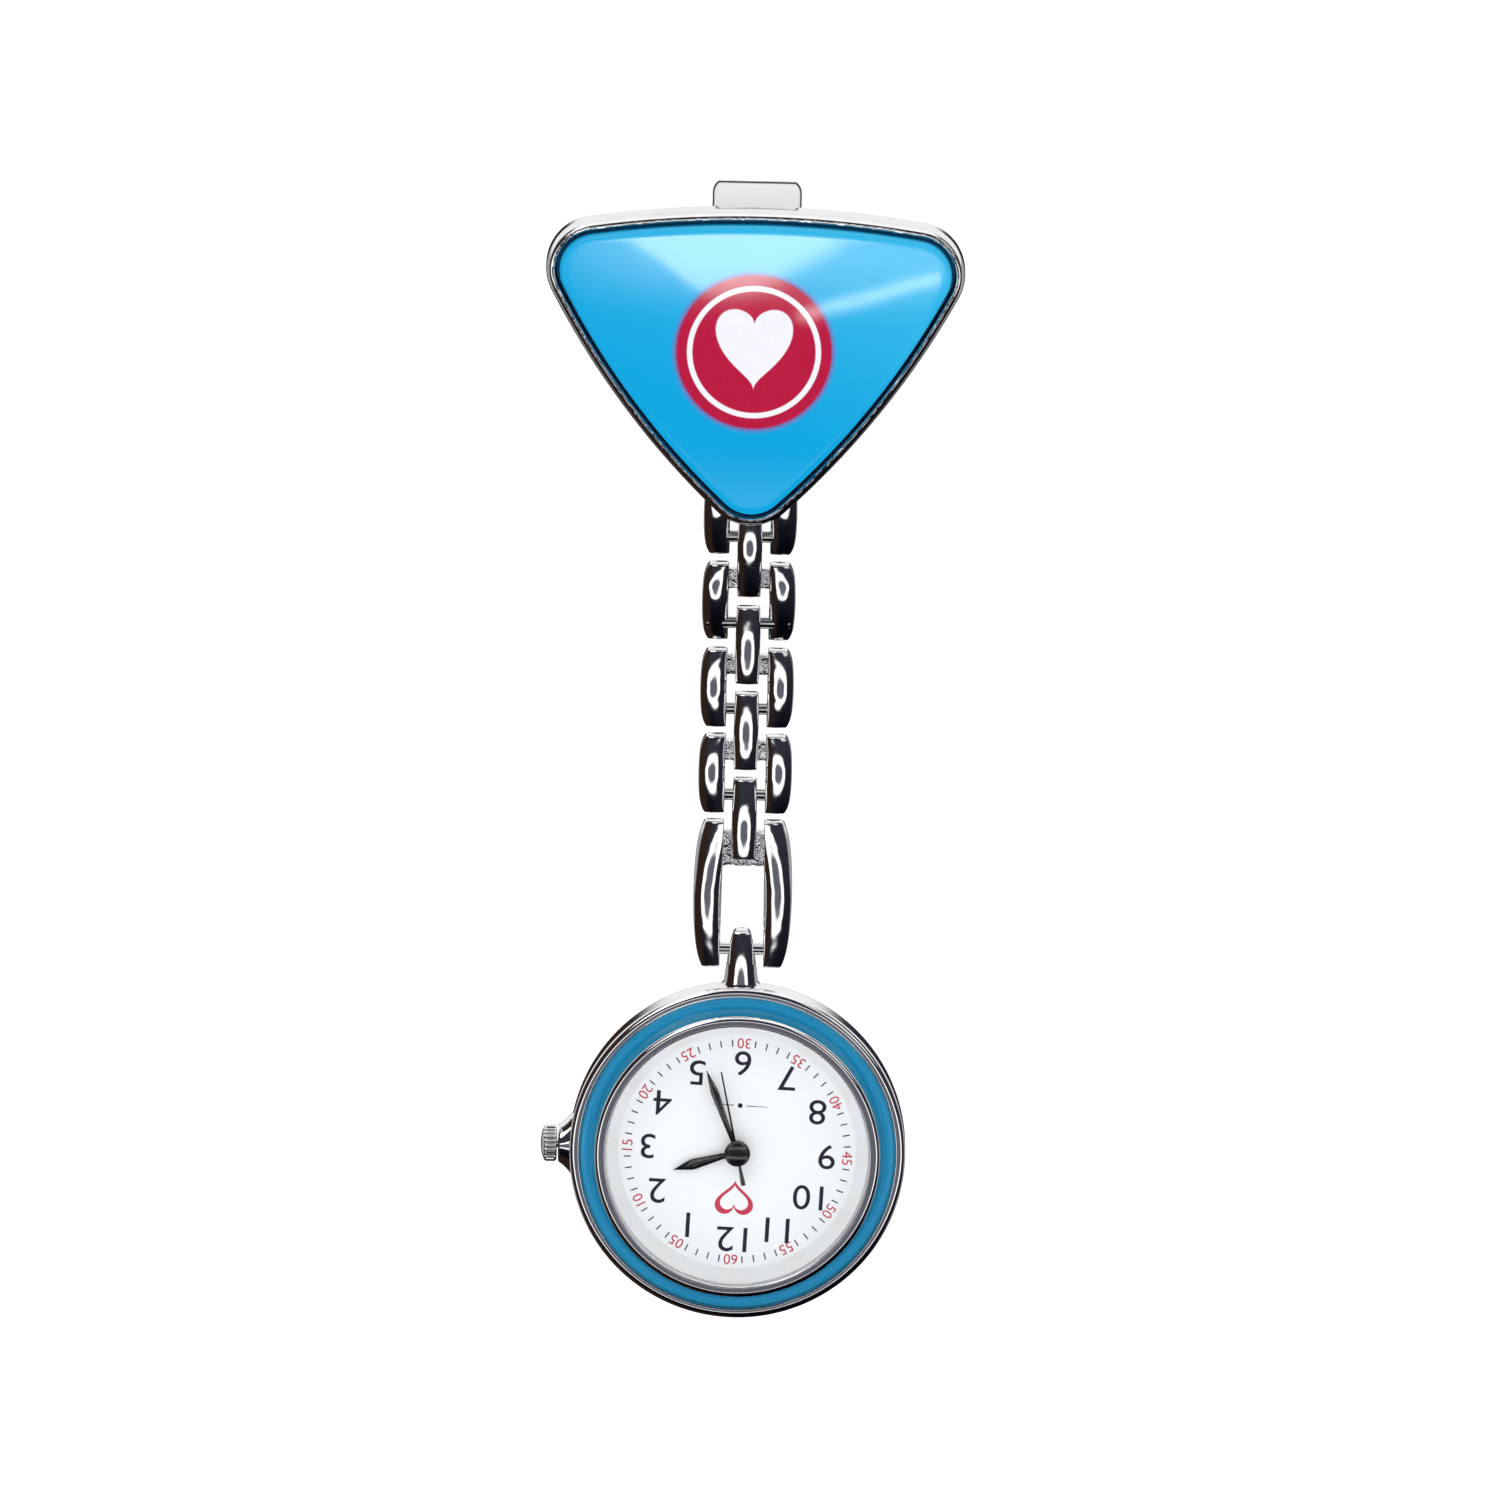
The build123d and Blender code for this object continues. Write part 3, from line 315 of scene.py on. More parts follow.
def dial_face(tree):
    """Satin white lacquer, with a faint grain and a faint painted glow that brightens it."""
    vector = tree.place()[0]
    fine = tree.noise(vector, 5200.0, 4.0, 0.6)
    broad = tree.noise(vector, 160.0, 2.0)
    colour = tree.mix(tree.math("MULTIPLY", tree.math("ADD", fine, broad), 0.5),
                      (0.95, 0.955, 0.97), (0.90, 0.91, 0.93))
    return {"Base Color": colour, "Roughness": 0.45, "Specular IOR Level": 0.15,
            # painted light: a faint white glow, though the dial is no lamp
            "Emission Color": WHITE, "Emission Strength": 0.08,
            "Normal": tree.bump(fine, 0.12, 0.01)}


def crystal(tree):
    """Clear crystal: light passes straight through, and the surface mirrors by its angle."""
    vector = tree.place()[0]
    haze = tree.noise(vector, 350.0, 4.0)
    hairs = tree.noise(tree.stretch(vector, (400.0, 400.0, 3000.0)), 2.0, 2.0)
    hairs = tree.step(hairs, 0.66, 0.75)
    through = tree.node("ShaderNodeBsdfTransparent",
                        {"Color": tree.mix(haze, (0.985, 0.99, 0.99), (0.965, 0.975, 0.98))})
    mirror = tree.node("ShaderNodeBsdfGlossy", {
        "Color": WHITE,
        "Roughness": tree.math("ADD", 0.01, tree.math("MULTIPLY", hairs, 0.06))})
    angle = tree.node("ShaderNodeFresnel", {"IOR": 1.5})
    outside = tree.math("SUBTRACT", 1.0, tree.node("ShaderNodeNewGeometry").outputs["Backfacing"])
    faint = tree.math("MULTIPLY", outside, 0.15)
    return tree.node("ShaderNodeMixShader", {
        0: tree.math("MULTIPLY", angle.outputs[0], faint),
        1: through.outputs[0], 2: mirror.outputs[0]}).outputs[0]


LOOK = {
    "chrome": plated("chrome"),
    "cast": plated("chrome_cast", grain=1.0, rough=0.03),
    "lip": plated("chrome_rim", peel=0.5),
    "steel_pin": plated("steel_pin", tone=(0.85, 0.84, 0.82), rough=0.09),
    "lever": surface("lever_painted_sheen", lever_finish),
    "steel_sheet": brushed("steel_sheet", (0.86, 0.86, 0.85), SHEET_GRAIN, 0.3),
    "turned_steel": surface("turned_steel", turned),
    "spring_steel": brushed("spring_steel", (0.55, 0.55, 0.56), (5000.0, 900.0, 900.0), 0.28),
    "inlay": mottled("inlay_card", (0.0, 0.30, 0.62), 0.5),
    "resin": surface("resin", resin),
    "enamel": surface("enamel", enamel),
    "dial": surface("dial", dial_face),
    "crystal": material("crystal", crystal),
    "gasket": mottled("gasket", (0.55, 0.56, 0.57), 0.5, scale=2500.0),
    "flange": mottled("flange", (0.90, 0.905, 0.91), 0.42, scale=700.0, metal=0.15, depth=0.02,
                      vary=0.03),
    "movement_plastic": mottled("movement_plastic", (0.62, 0.64, 0.66), 0.45, scale=1500.0),
    "brass_plate": mottled("brass_plate", (0.80, 0.62, 0.30), 0.3, metal=1.0, scale=1300.0),
    "cell": brushed("cell", (0.75, 0.75, 0.74), (4000.0, 4000.0, 300.0), 0.3),
    "board": mottled("board", (0.02, 0.17, 0.07), 0.4, scale=2200.0),
    "winding": mottled("winding", (0.62, 0.22, 0.08), 0.35, metal=1.0, scale=4000.0, depth=0.8),
    "stator_iron": mottled("stator_iron", (0.42, 0.42, 0.43), 0.4, metal=1.0),
    "hand_black": mottled("hand_black", (0.006, 0.006, 0.008), 0.14, scale=2000.0, depth=0.05,
                          **{"Coat Weight": 1.0, "Coat Roughness": 0.03}),
    "ink": mottled("ink_black", (0.012, 0.012, 0.035), 0.45, scale=4000.0, depth=0.1, vary=0.3),
    "red_ink": mottled("ink_red", (0.66, 0.035, 0.085), 0.45, scale=4000.0, depth=0.1),
}


# ---- mesh helpers
def piece(name, shells, look, slot, body, *nodes, sharp=32.0):
    """An object from (points in mm, faces) shells, in place, riding on its body."""
    points, faces = [], []
    for shell_points, shell_faces in shells:
        first = len(points)
        points += [(x * MM, y * MM, z * MM) for x, y, z in shell_points]
        faces += [tuple(first + i for i in face) for face in shell_faces]
    mesh = bpy.data.meshes.new(name)
    mesh.from_pydata(points, [], faces)
    work = bmesh.new()
    work.from_mesh(mesh)
    bmesh.ops.remove_doubles(work, verts=work.verts, dist=1e-8)
    bmesh.ops.recalc_face_normals(work, faces=work.faces)
    work.to_mesh(mesh)
    work.free()
    mesh.shade_smooth()
    mesh.set_sharp_from_angle(angle=math.radians(sharp))
    mesh.materials.append(LOOK[look])
    made = bpy.data.objects.new(name, mesh)
    SCENE.collection.objects.link(made)
    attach(made, body)
    if nodes:
        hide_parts(*nodes)


def rounded(corners, radii, steps=6, beside=0.03):
    """A closed outline with arcs at its corners, and a support point on each side of every arc."""
    out = []
    count = len(corners)
    if not isinstance(radii, (list, tuple)):
        radii = [radii] * count
    for i, corner in enumerate(corners):
        here = Vector(corner)
        if radii[i] <= 0:
            out.append(tuple(here))
            continue
        to_last = (Vector(corners[i - 1]) - here).normalized()
        to_next = (Vector(corners[(i + 1) % count]) - here).normalized()
        half = to_last.angle(to_next) / 2
        reach = radii[i] / math.tan(half)
        centre = here + (to_last + to_next).normalized() * (radii[i] / math.sin(half))
        start, end = here + to_last * reach, here + to_next * reach
        from_centre, turn = start - centre, math.pi - 2 * half
        cross = to_last.x * to_next.y - to_last.y * to_next.x
        sign = -1.0 if cross > 0 else 1.0
        out.append(tuple(start + to_last * beside))
        for k in range(steps + 1):
            angle = sign * turn * k / steps
            cos, sin = math.cos(angle), math.sin(angle)
            out.append((centre.x + from_centre.x * cos - from_centre.y * sin,
                        centre.y + from_centre.x * sin + from_centre.y * cos))
        out.append(tuple(end + to_next * beside))
    return out


def loft(rings, closed=False):
    """A skin over rings of equally many points: a loop of them, or a row with flat ends."""
    count = len(rings[0])
    points = [p for ring in rings for p in ring]
    faces = []
    for r in range(len(rings) if closed else len(rings) - 1):
        a, b = r * count, (r + 1) % len(rings) * count
        for i in range(count):
            j = (i + 1) % count
            faces.append((a + i, a + j, b + j, b + i))
    if not closed:
        faces.append(tuple(range(count))[::-1])
        faces.append(tuple(range(len(points) - count, len(points))))
    return points, faces


def lathe(profile, segments=240):
    """A ring of the watch from its (radius, h) outline."""
    rings = []
    for s in range(segments):
        angle = 2 * math.pi * s / segments
        cos, sin = math.cos(angle), math.sin(angle)
        rings.append([(r * cos, WATCH_Y - h, WATCH_Z + r * sin) for r, h in profile])
    points, faces = loft(rings, closed=True)
    on_axis = {i for i, (x, _, z) in enumerate(points) if math.hypot(x, z - WATCH_Z) < 1e-6}
    return points, [f for f in faces if len(on_axis & set(f)) < 4]


def blend(t):
    """0 to 1 with soft ends."""
    t = min(max(t, 0.0), 1.0)
    return t * t * (3 - 2 * t)


# ---- brooch
def arc_circle(start, end, bow):
    """Centre and radius of the arc that bulges to the left of its direction by bow."""
    start, end = Vector(start), Vector(end)
    run = end - start
    radius = (run.length_squared / 4 + bow * bow) / (2 * bow)
    left = Vector((-run.y, run.x)).normalized()
    return (start + end) / 2 - left * (radius - bow), radius


def inlay_outline(side_steps=120, corner_steps=30):
    """Points and outward normals of the rounded triangle, clockwise from its upper left corner."""
    corners = [Vector((-CORNER_X, CORNER_Z)), Vector((CORNER_X, CORNER_Z)), Vector((0.0, TIP_Z))]
    bows = [TOP_BOW, SIDE_BOW, SIDE_BOW]
    sides = [arc_circle(corners[i], corners[(i + 1) % 3], bows[i]) for i in range(3)]
    middles = []
    for i, corner in enumerate(corners):
        (c1, r1), (c2, r2) = sides[i - 1], sides[i]
        near, far = r1 - CORNER_R, r2 - CORNER_R
        gap = c2 - c1
        along = (near * near - far * far + gap.length_squared) / (2 * gap.length)
        off = math.sqrt(near * near - along * along)
        step = gap.normalized()
        spots = [c1 + step * along + Vector((-step.y, step.x)) * off * s for s in (1, -1)]
        middles.append(min(spots, key=lambda p: (p - corner).length))
    spots = []
    for i in range(3):
        centre, radius = sides[i]
        heads = [(middles[k] - centre).normalized() for k in (i, (i + 1) % 3)]
        for k in range(side_steps):
            normal = heads[0].slerp(heads[1], k / side_steps)
            spots.append((centre + normal * radius, normal))
        turn = (middles[(i + 1) % 3] - sides[(i + 1) % 3][0]).normalized()
        for k in range(corner_steps):
            normal = heads[1].slerp(turn, k / corner_steps)
            spots.append((middles[(i + 1) % 3] + normal * CORNER_R, normal))
    return spots


OUTLINE = inlay_outline()


def outline_ring(grow, h, shrink=1.0, height=None):
    """The outline grown by grow and drawn in towards its middle, at height h or height(x, z)."""
    ring = []
    for spot, normal in OUTLINE:
        p = spot + normal * grow
        x, z = p.x * shrink, DOME_MID_Z + (p.y - DOME_MID_Z) * shrink
        ring.append((x, -(height(x, z) if height else h), z))
    return ring


# the tray: outside wall, a lip that slopes inwards to a fine bead, groove and floor
TRAY_SECTION = [(-0.8, PLATE_FRONT), (RIM_REACH - 0.12, PLATE_FRONT),
                (RIM_REACH, PLATE_FRONT + 0.12), (RIM_REACH, 2.3)]
for step in range(13):
    angle = math.radians(90 * step / 12)
    TRAY_SECTION.append((0.6 + 0.5 * math.cos(angle), 2.45 + 1.43 * math.sin(angle)))
TRAY_SECTION += [(0.57, 3.86), (0.54, 3.9), (0.51, 3.96), (0.465, 3.995), (0.42, RIM_FRONT),
                 (0.385, 3.98), (0.355, 3.93), (GROOVE, 3.85), (GROOVE, 2.6),
                 (GROOVE, FLOOR_FRONT + 0.1), (GROOVE - 0.1, FLOOR_FRONT), (-0.8, FLOOR_FRONT)]


def tray_shell():
    rings = []
    for d, h in TRAY_SECTION:
        ring = []
        for k, (spot, normal) in enumerate(OUTLINE):
            p = spot + normal * d
            lift = 0.0
            if h > 3.84 and d < 0.6:
                lift = 0.035 * field.noise(Vector((p.x * 4.1, p.y * 4.1, 0.7))) - 0.03
            ring.append((p.x, -min(h + lift, RIM_FRONT), p.y))
        rings.append(ring)
    return loft(rings)


piece("brooch_tray_shell", [tray_shell()], "lip", "chrome", "brooch", "brooch_tray")


def dome_height(x, z):
    return DOME_FRONT - DOME_R + math.sqrt(DOME_R ** 2 - x * x - (z - DOME_MID_Z) ** 2)


def dome_shell():
    edge = 0.5
    rings = [outline_ring(0, CARD_FRONT, 0.5), outline_ring(0, CARD_FRONT), outline_ring(0, 2.6)]
    for k in range(13):
        angle = math.radians(90 * k / 12)
        inset, drop = edge * (1 - math.cos(angle)), edge * (1 - math.sin(angle))
        rings.append(outline_ring(-inset, 0, height=lambda x, z: dome_height(x, z) - drop))
    rim = rings[-1]
    for k in range(1, 36):
        shrink = 1 - k / 36
        ring = []
        for x, _, z in rim:
            nx, nz = x * shrink, DOME_MID_Z + (z - DOME_MID_Z) * shrink
            ring.append((nx, -dome_height(nx, nz), nz))
        rings.append(ring)
    return loft(rings)


piece("dome_resin", [dome_shell()], "resin", "resin", "brooch", "resin_dome", sharp=50)


# ---- clip spring
def tube(path, radius, sides=14):
    """A wire along a path, with rounded ends."""
    rings = []
    up = Vector((0.31, 0.27, 0.91))
    line = [Vector(p) for p in path]
    for k, here in enumerate(line):
        ahead = (line[min(k + 1, len(line) - 1)] - line[max(k - 1, 0)]).normalized()
        across = ahead.cross(up).normalized()
        up = across.cross(ahead).normalized()
        size = radius * (0.6 if k in (0, len(line) - 1) else 1.0)
        rings.append([tuple(here + (across * math.cos(a) + up * math.sin(a)) * size)
                      for a in (2 * math.pi * s / sides for s in range(sides))])
    return loft(rings)


def clip_spring():
    """Five turns round the clip's pin, one leg on the base and one on the lever."""
    coil_r, wire_r, half, turns = 0.95, 0.2, 1.15, 5
    slope = 2 * half / (turns * 2 * math.pi * coil_r)
    path = []
    for k in range(turns * 28 + 1):
        angle = 2 * math.pi * k / 28
        path.append((-half + 2 * half * k / (turns * 28), HINGE_Y - coil_r * math.sin(angle),
                     HINGE_Z + coil_r * math.cos(angle)))
    top = HINGE_Z + coil_r
    path += [(half + slope * d, HINGE_Y - d, top) for d in (0.4, 0.9, 1.5, 2.1, 2.46)]
    piece("clip_spring_coil", [tube(path, wire_r)], "spring_steel", "spring_steel", "brooch",
          "clip_spring", sharp=60)
    leg = [(-half - slope * d, HINGE_Y + d, top) for d in (0.0, 0.3, 0.7, 1.06)]
    piece("clip_spring_leg", [tube(leg, wire_r)], "spring_steel", "spring_steel", "clip_lever",
          sharp=60)


clip_spring()


# ---- chain
# a bar's sections, the points across its face, its ends' rounding and its unevenness
BAR_STEPS, FACE_STEPS, BAR_NIP, UNEVEN = 48, 18, 0.15, 0.012


def d_section(x, half, front, rear, z, lean=0.0):
    """Section of a cast bar at height z: flat behind, upright sides, and a crowned face whose crest
    is lean away from the middle."""
    cross = max(CROSS_R, half + abs(lean) + 0.06)

    def face(across):
        return front + cross - math.sqrt(cross * cross - (across - lean) ** 2)

    soft = min(0.14, half * 0.4)
    corners = [(-half, rear), (half, rear)]
    radii = [soft, soft]
    corners.append((half, face(half) + 0.02))
    radii.append(soft * 0.5)
    for k in range(1, FACE_STEPS):
        across = (half - 0.03) * math.cos(math.pi * k / FACE_STEPS)
        corners.append((across, face(across)))
        radii.append(0.0)
    corners.append((-half, face(-half) + 0.02))
    radii.append(soft * 0.5)
    return [(x + px, py, z) for px, py in rounded(corners, radii, 3, 0.006)]


def bar_shell(z_low, z_high, inner, outer, seed, apex, crown, lean=None):
    """A cast bar between inner(t) and outer(t), t from 0 at its foot to 1 at its head.
    apex is how far above its middle the face stands proudest, and crown the face's radius."""
    front, rear = CHAIN_Y - LINK_T / 2, CHAIN_Y + LINK_T / 2
    height, middle = z_high - z_low, (z_low + z_high) / 2 + apex
    rings = []
    for k in range(BAR_STEPS + 1):
        # stations crowd towards both ends, where the edges are rounded
        t = (1 - math.cos(math.pi * k / BAR_STEPS)) / 2
        z = z_low + height * t
        from_end = min(z - z_low, z_high - z)
        into = max(BAR_NIP - from_end, 0.0)
        pull = BAR_NIP - math.sqrt(max(BAR_NIP * BAR_NIP - into ** 2, 0.0))
        left, right = inner(t) + pull * 0.8, outer(t) - pull * 0.8
        crest = front + crown - math.sqrt(crown * crown - (z - middle) ** 2) + pull
        ring = d_section((left + right) / 2, (right - left) / 2, crest, rear - pull * 0.6, z,
                         lean(t) if lean else 0.0)
        wavy = []
        for x, y, z in ring:
            n = field.noise(Vector((x * 1.3 + seed, y * 1.3, z * 1.3)))
            sag = UNEVEN * (n - 1.0)
            wavy.append((x, y - sag if y < CHAIN_Y else y + sag, z))
        rings.append(wavy)
    return loft(rings)


def mirrored(shell):
    points, faces = shell
    return [(-x, y, z) for x, y, z in points], [tuple(reversed(f)) for f in faces]


# a web's distance behind the chain's middle, half its thickness, and its sections
WEB_BACK, WEB_HALF, WEB_STEPS = 0.3, 0.65, 44


def web_shell(upper_z, web, half, seed):
    """The rough web between the bars, left as it came from the mould."""
    high, low = upper_z - web[0], upper_z - web[1]
    y_near, y_far = CHAIN_Y + WEB_BACK - WEB_HALF, CHAIN_Y + WEB_BACK + WEB_HALF
    section = rounded([(y_near, low), (y_far, low), (y_far, high), (y_near, high)], 0.22, 5, 0.05)
    dense = []
    for i, here in enumerate(section):
        there = section[(i + 1) % len(section)]
        cuts = max(1, round(math.dist(here, there) / 0.11))
        run = (there[0] - here[0], there[1] - here[1])
        dense += [(here[0] + run[0] * c / cuts, here[1] + run[1] * c / cuts) for c in range(cuts)]
    y_mid, z_mid = (y_near + y_far) / 2, (low + high) / 2
    rings = []
    for k in range(WEB_STEPS + 1):
        x = -half + 2 * half * k / WEB_STEPS
        ring = []
        for y, z in dense:
            n = field.fractal(Vector((x * 2.6 + seed, y * 2.6, z * 2.6)), 0.7, 2.1, 3)
            shrink = 1 - 0.05 + 0.07 * max(min(n, 0.7), -0.9)
            ring.append((x, y_mid + (y - y_mid) * shrink, z_mid + (z - z_mid) * shrink))
        rings.append(ring)
    return loft(rings)


def link(name, upper_z, lower_z, drop, web, out, bow, foot_in, seed, side_face, centre_face,
         lean=None):
    """side_face and centre_face are the (apex, crown) of their bars."""
    head, foot = upper_z - BAR_START, lower_z - BAR_END
    side = bar_shell(foot, head, lambda t: foot_in + (BAR_IN - foot_in) * t,
                     lambda t: out - bow * (2 * t - 1) ** 2 - 0.35 * abs(2 * t - 1) ** 6, seed,
                     *side_face, lean=lean)
    centre = bar_shell(upper_z - drop, upper_z + CENTRE_RISE,
                       lambda t: -CENTRE_HALF + 0.08 * (2 * t - 1) ** 2,
                       lambda t: CENTRE_HALF - 0.08 * (2 * t - 1) ** 2, seed + 5, *centre_face)
    piece(name + "_casting", [side, mirrored(side), centre], "chrome", "chrome", name, name)
    piece(name + "_web", [web_shell(upper_z, web, BAR_IN + 0.3, seed)], "cast", "chrome", name,
          sharp=60)


# the (apex, crown) of the side bars and of the centre bar, from the top link down
FACES = [((1.5, 14.0), (1.0, 12.0)), ((1.4, 10.0), (1.0, 12.4)), ((0.1, 16.0), (-0.65, 19.0)),
         ((0.0, 15.0), (-0.35, 19.0))]
for number, (side_face, centre_face) in enumerate(FACES):
    link("link_top" if number == 0 else f"link_{number}", PINS[number], PINS[number + 1], 5.1,
         (2.65, 4.4), BAR_OUT, BAR_BOW, BAR_IN, 11.0 * number, side_face, centre_face)
link("link_long", PINS[4], PINS[5], 5.4, (3.0, 6.05), LONG_OUT, LONG_BOW, LONG_FOOT_IN, 50.0,
     (0.4, 43.0), (-1.3, 19.0), lean=lambda t: -0.4 * blend((t - 0.45) / 0.55))

# ---- watch case
# outlines are (radius, h) points, then the radii of their corners
CASE = rounded([(11.25, 0.9), (11.25, -3.4), (13.05, -3.4), (14.0, -1.5), (14.0, 2.0),
                (13.16, 2.0), (13.16, 1.2), (11.6, 1.2), (11.6, 0.9)],
               [0.04, 0.04, 0.35, 1.6, 0.5, 0.16, 0.04, 0.03, 0.03], 8)


def lug_shell():
    """The tongue that hangs on the long link's pin."""
    # (height over the pin, half width), from the root inside the case to the tip
    widths = [(-4.6, 3.2), (-3.6, 2.2), (-3.2, 1.72), (-2.85, 1.42), (0.0, 1.06), (1.2, 0.76),
              (1.65, 0.6)]
    root, length, steps = -4.6, 6.25, 60
    # the tip is rounded from here up by 0.4, whose square is 0.16
    round_from = 1.25
    rings = []
    for k in range(steps + 1):
        up = root + length * (1 - (1 - k / steps) ** 1.4)
        for (u0, w0), (u1, w1) in zip(widths, widths[1:]):
            if u0 <= up <= u1:
                half = w0 + (w1 - w0) * (up - u0) / (u1 - u0)
        pull = 0.0
        if up > round_from:
            pull = 0.4 - math.sqrt(max(0.16 - (up - round_from) ** 2, 0.0))
        crest = 0.9 + max(up + 3.0, 0.0) ** 2 / 40 + pull
        half -= pull * 0.7
        rings.append(d_section(0.0, half, crest, 3.1 - pull * 0.5, PINS[5] + up))
    return loft(rings)


def boss_shell():
    """The flare that carries the crown's tube."""
    root_x, length, steps, sides = -12.7, 2.25, 30, 72
    root_tall, root_deep, end_r = 3.4, 1.7, 1.6
    rings = []
    y_mid = WATCH_Y - STEM_H
    for k in range(steps + 1):
        t = k / steps
        x = root_x - length * t
        ease = blend(max(t - 0.1, 0) / 0.9)
        tall = root_tall + (end_r - root_tall) * (0.35 * t + 0.65 * ease)
        deep = root_deep + (end_r - root_deep) * t
        pull = 0.12 * max(t - 0.94, 0) / 0.06
        tall, deep = tall - pull, deep - pull
        rings.append([(x, y_mid + deep * math.sin(a), WATCH_Z + tall * math.cos(a))
                      for a in (2 * math.pi * s / sides for s in range(sides))])
    return loft(rings)


piece("watch_case_body", [lathe(CASE, 288), lug_shell(), boss_shell()], "chrome", "chrome", "watch",
      "watch_case")

ENAMEL = [(11.9, 1.2), (13.16, 1.2), (13.16, 1.5)]
ENAMEL += [(13.16 - 1.26 * k / 16, 1.5 + 0.25 * math.sin(math.pi * k / 16) ** 0.7)
           for k in range(1, 16)]
ENAMEL += [(11.9, 1.55)]
piece("enamel_band", [lathe(ENAMEL)], "enamel", "enamel", "watch", "enamel_ring")

BEZEL = rounded([(11.2, 0.9), (11.6, 0.9), (11.6, 1.2), (11.9, 1.2), (11.9, 3.8), (10.97, 3.8),
                 (10.97, 3.35), (11.2, 3.35)], [0.03, 0.03, 0.03, 0.03, 0.42, 0.16, 0.03, 0.03], 8)
piece("bezel_polished", [lathe(BEZEL)], "chrome", "chrome", "watch", "bezel_ring")

CRYSTAL = [(0, 2.85), (10.92, 2.85), (10.92, 3.5), (10.89, 3.58), (10.82, 3.64), (10.7, 3.67)]
CRYSTAL += [(10.7 * (1 - k / 12), 3.78 - 0.11 * (1 - k / 12) ** 2) for k in range(1, 13)]
piece("crystal_lens", [lathe(CRYSTAL)], "crystal", "crystal", "watch", "crystal")

FLANGE = rounded([(9.9, 1.1), (11.15, 1.1), (11.15, 2.85), (10.85, 2.85)],
                 [0.0, 0.02, 0.02, 0.06], 4, 0.02)
piece("flange_cone", [lathe(FLANGE)], "flange", "flange", "watch", "flange_ring")

DIAL = rounded([(0.85, 0.75), (10.9, 0.75), (10.9, DIAL_FRONT), (0.85, DIAL_FRONT)],
               [0.02, 0.02, 0.03, 0.05], 4)
piece("dial_plate", [lathe(DIAL, 180)], "dial", "dial", "watch", "dial")


# ---- dial printing
DIAL_TURN = math.radians(2.4)
INK_TOP, INK_ROOT = DIAL_FRONT + 0.012, DIAL_FRONT - 0.01
HOUR_TALL, HOUR_R, HOUR_WIDEN = 2.08, 7.47, 1.1
MINUTE_TALL, MINUTE_R = 0.86, 9.17
TICK_IN, TICK_OUT, TICK_HALF = 8.88, 9.46, 0.05
# how far the heart is above the dial's centre, and the ornament below it
MARK_V = 3.9


def on_dial(u, v, h):
    """A point of the dial in its own upright frame; the watch hangs with its 12 at the bottom."""
    return (-u, WATCH_Y - h, WATCH_Z - v)


def printed(u, v, h):
    """A printed point: the dial sits in the case turned a little clockwise."""
    cos, sin = math.cos(DIAL_TURN), math.sin(DIAL_TURN)
    return on_dial(u * cos + v * sin, v * cos - u * sin, h)


def prism(outline):
    rings = [[printed(u, v, h) for u, v in outline] for h in (INK_ROOT, INK_TOP)]
    return loft(rings)


def band(outer, inner):
    """A printed line between two closed outlines."""
    rings = [[printed(*o, INK_ROOT), printed(*o, INK_TOP),
              printed(*i, INK_TOP), printed(*i, INK_ROOT)] for o, i in zip(outer, inner)]
    return loft(rings, closed=True)


def glyphs(words, height, middle, turn, widen=1.0):
    """Figures as thin solids, centred on middle and turned clockwise by turn degrees."""
    curve = bpy.data.curves.new("glyphs", "FONT")
    curve.body = words
    curve.size = 1.0
    curve.extrude = 0.5
    curve.resolution_u = 5
    holder = bpy.data.objects.new("glyphs", curve)
    SCENE.collection.objects.link(holder)
    bpy.context.view_layer.update()
    depsgraph = bpy.context.evaluated_depsgraph_get()
    mesh = bpy.data.meshes.new_from_object(holder.evaluated_get(depsgraph))
    low = [min(v.co[i] for v in mesh.vertices) for i in range(2)]
    high = [max(v.co[i] for v in mesh.vertices) for i in range(2)]
    size = height / (high[1] - low[1])
    cos, sin = math.cos(math.radians(-turn)), math.sin(math.radians(-turn))
    points = []
    for v in mesh.vertices:
        gu = (v.co.x - (low[0] + high[0]) / 2) * size * widen
        gv = (v.co.y - (low[1] + high[1]) / 2) * size
        h = INK_TOP if v.co.z > 0 else INK_ROOT
        points.append(printed(middle[0] + gu * cos - gv * sin,
                              middle[1] + gu * sin + gv * cos, h))
    faces = [tuple(p.vertices) for p in mesh.polygons]
    bpy.data.objects.remove(holder)
    bpy.data.curves.remove(curve)
    bpy.data.meshes.remove(mesh)
    return points, faces


def clock(radius, degrees):
    """A point of the dial, by its direction clockwise from 12."""
    return radius * math.sin(math.radians(degrees)), radius * math.cos(math.radians(degrees))


black, red = [], []
for hour in range(1, 13):
    # the 10 is wide, so it is printed a little further in
    inset = 0.4 if hour == 10 else 0.0
    black.append(glyphs(str(hour), HOUR_TALL, clock(HOUR_R - inset, 30 * hour), 0, HOUR_WIDEN))
    # the minutes from 20 to 40 stand the other way up
    flip = 180 if 4 <= hour <= 8 else 0
    red.append(glyphs(f"{hour * 5:02d}", MINUTE_TALL, clock(MINUTE_R, 30 * hour), 30 * hour + flip))
for minute in range(60):
    if minute % 5:
        angle = math.radians(6 * minute)
        out, across = (math.sin(angle), math.cos(angle)), (math.cos(angle), -math.sin(angle))
        corners = ((TICK_IN, -TICK_HALF), (TICK_IN, TICK_HALF),
                   (TICK_OUT, TICK_HALF), (TICK_OUT, -TICK_HALF))
        black.append(prism([(out[0] * r + across[0] * w, out[1] * r + across[1] * w)
                            for r, w in corners]))


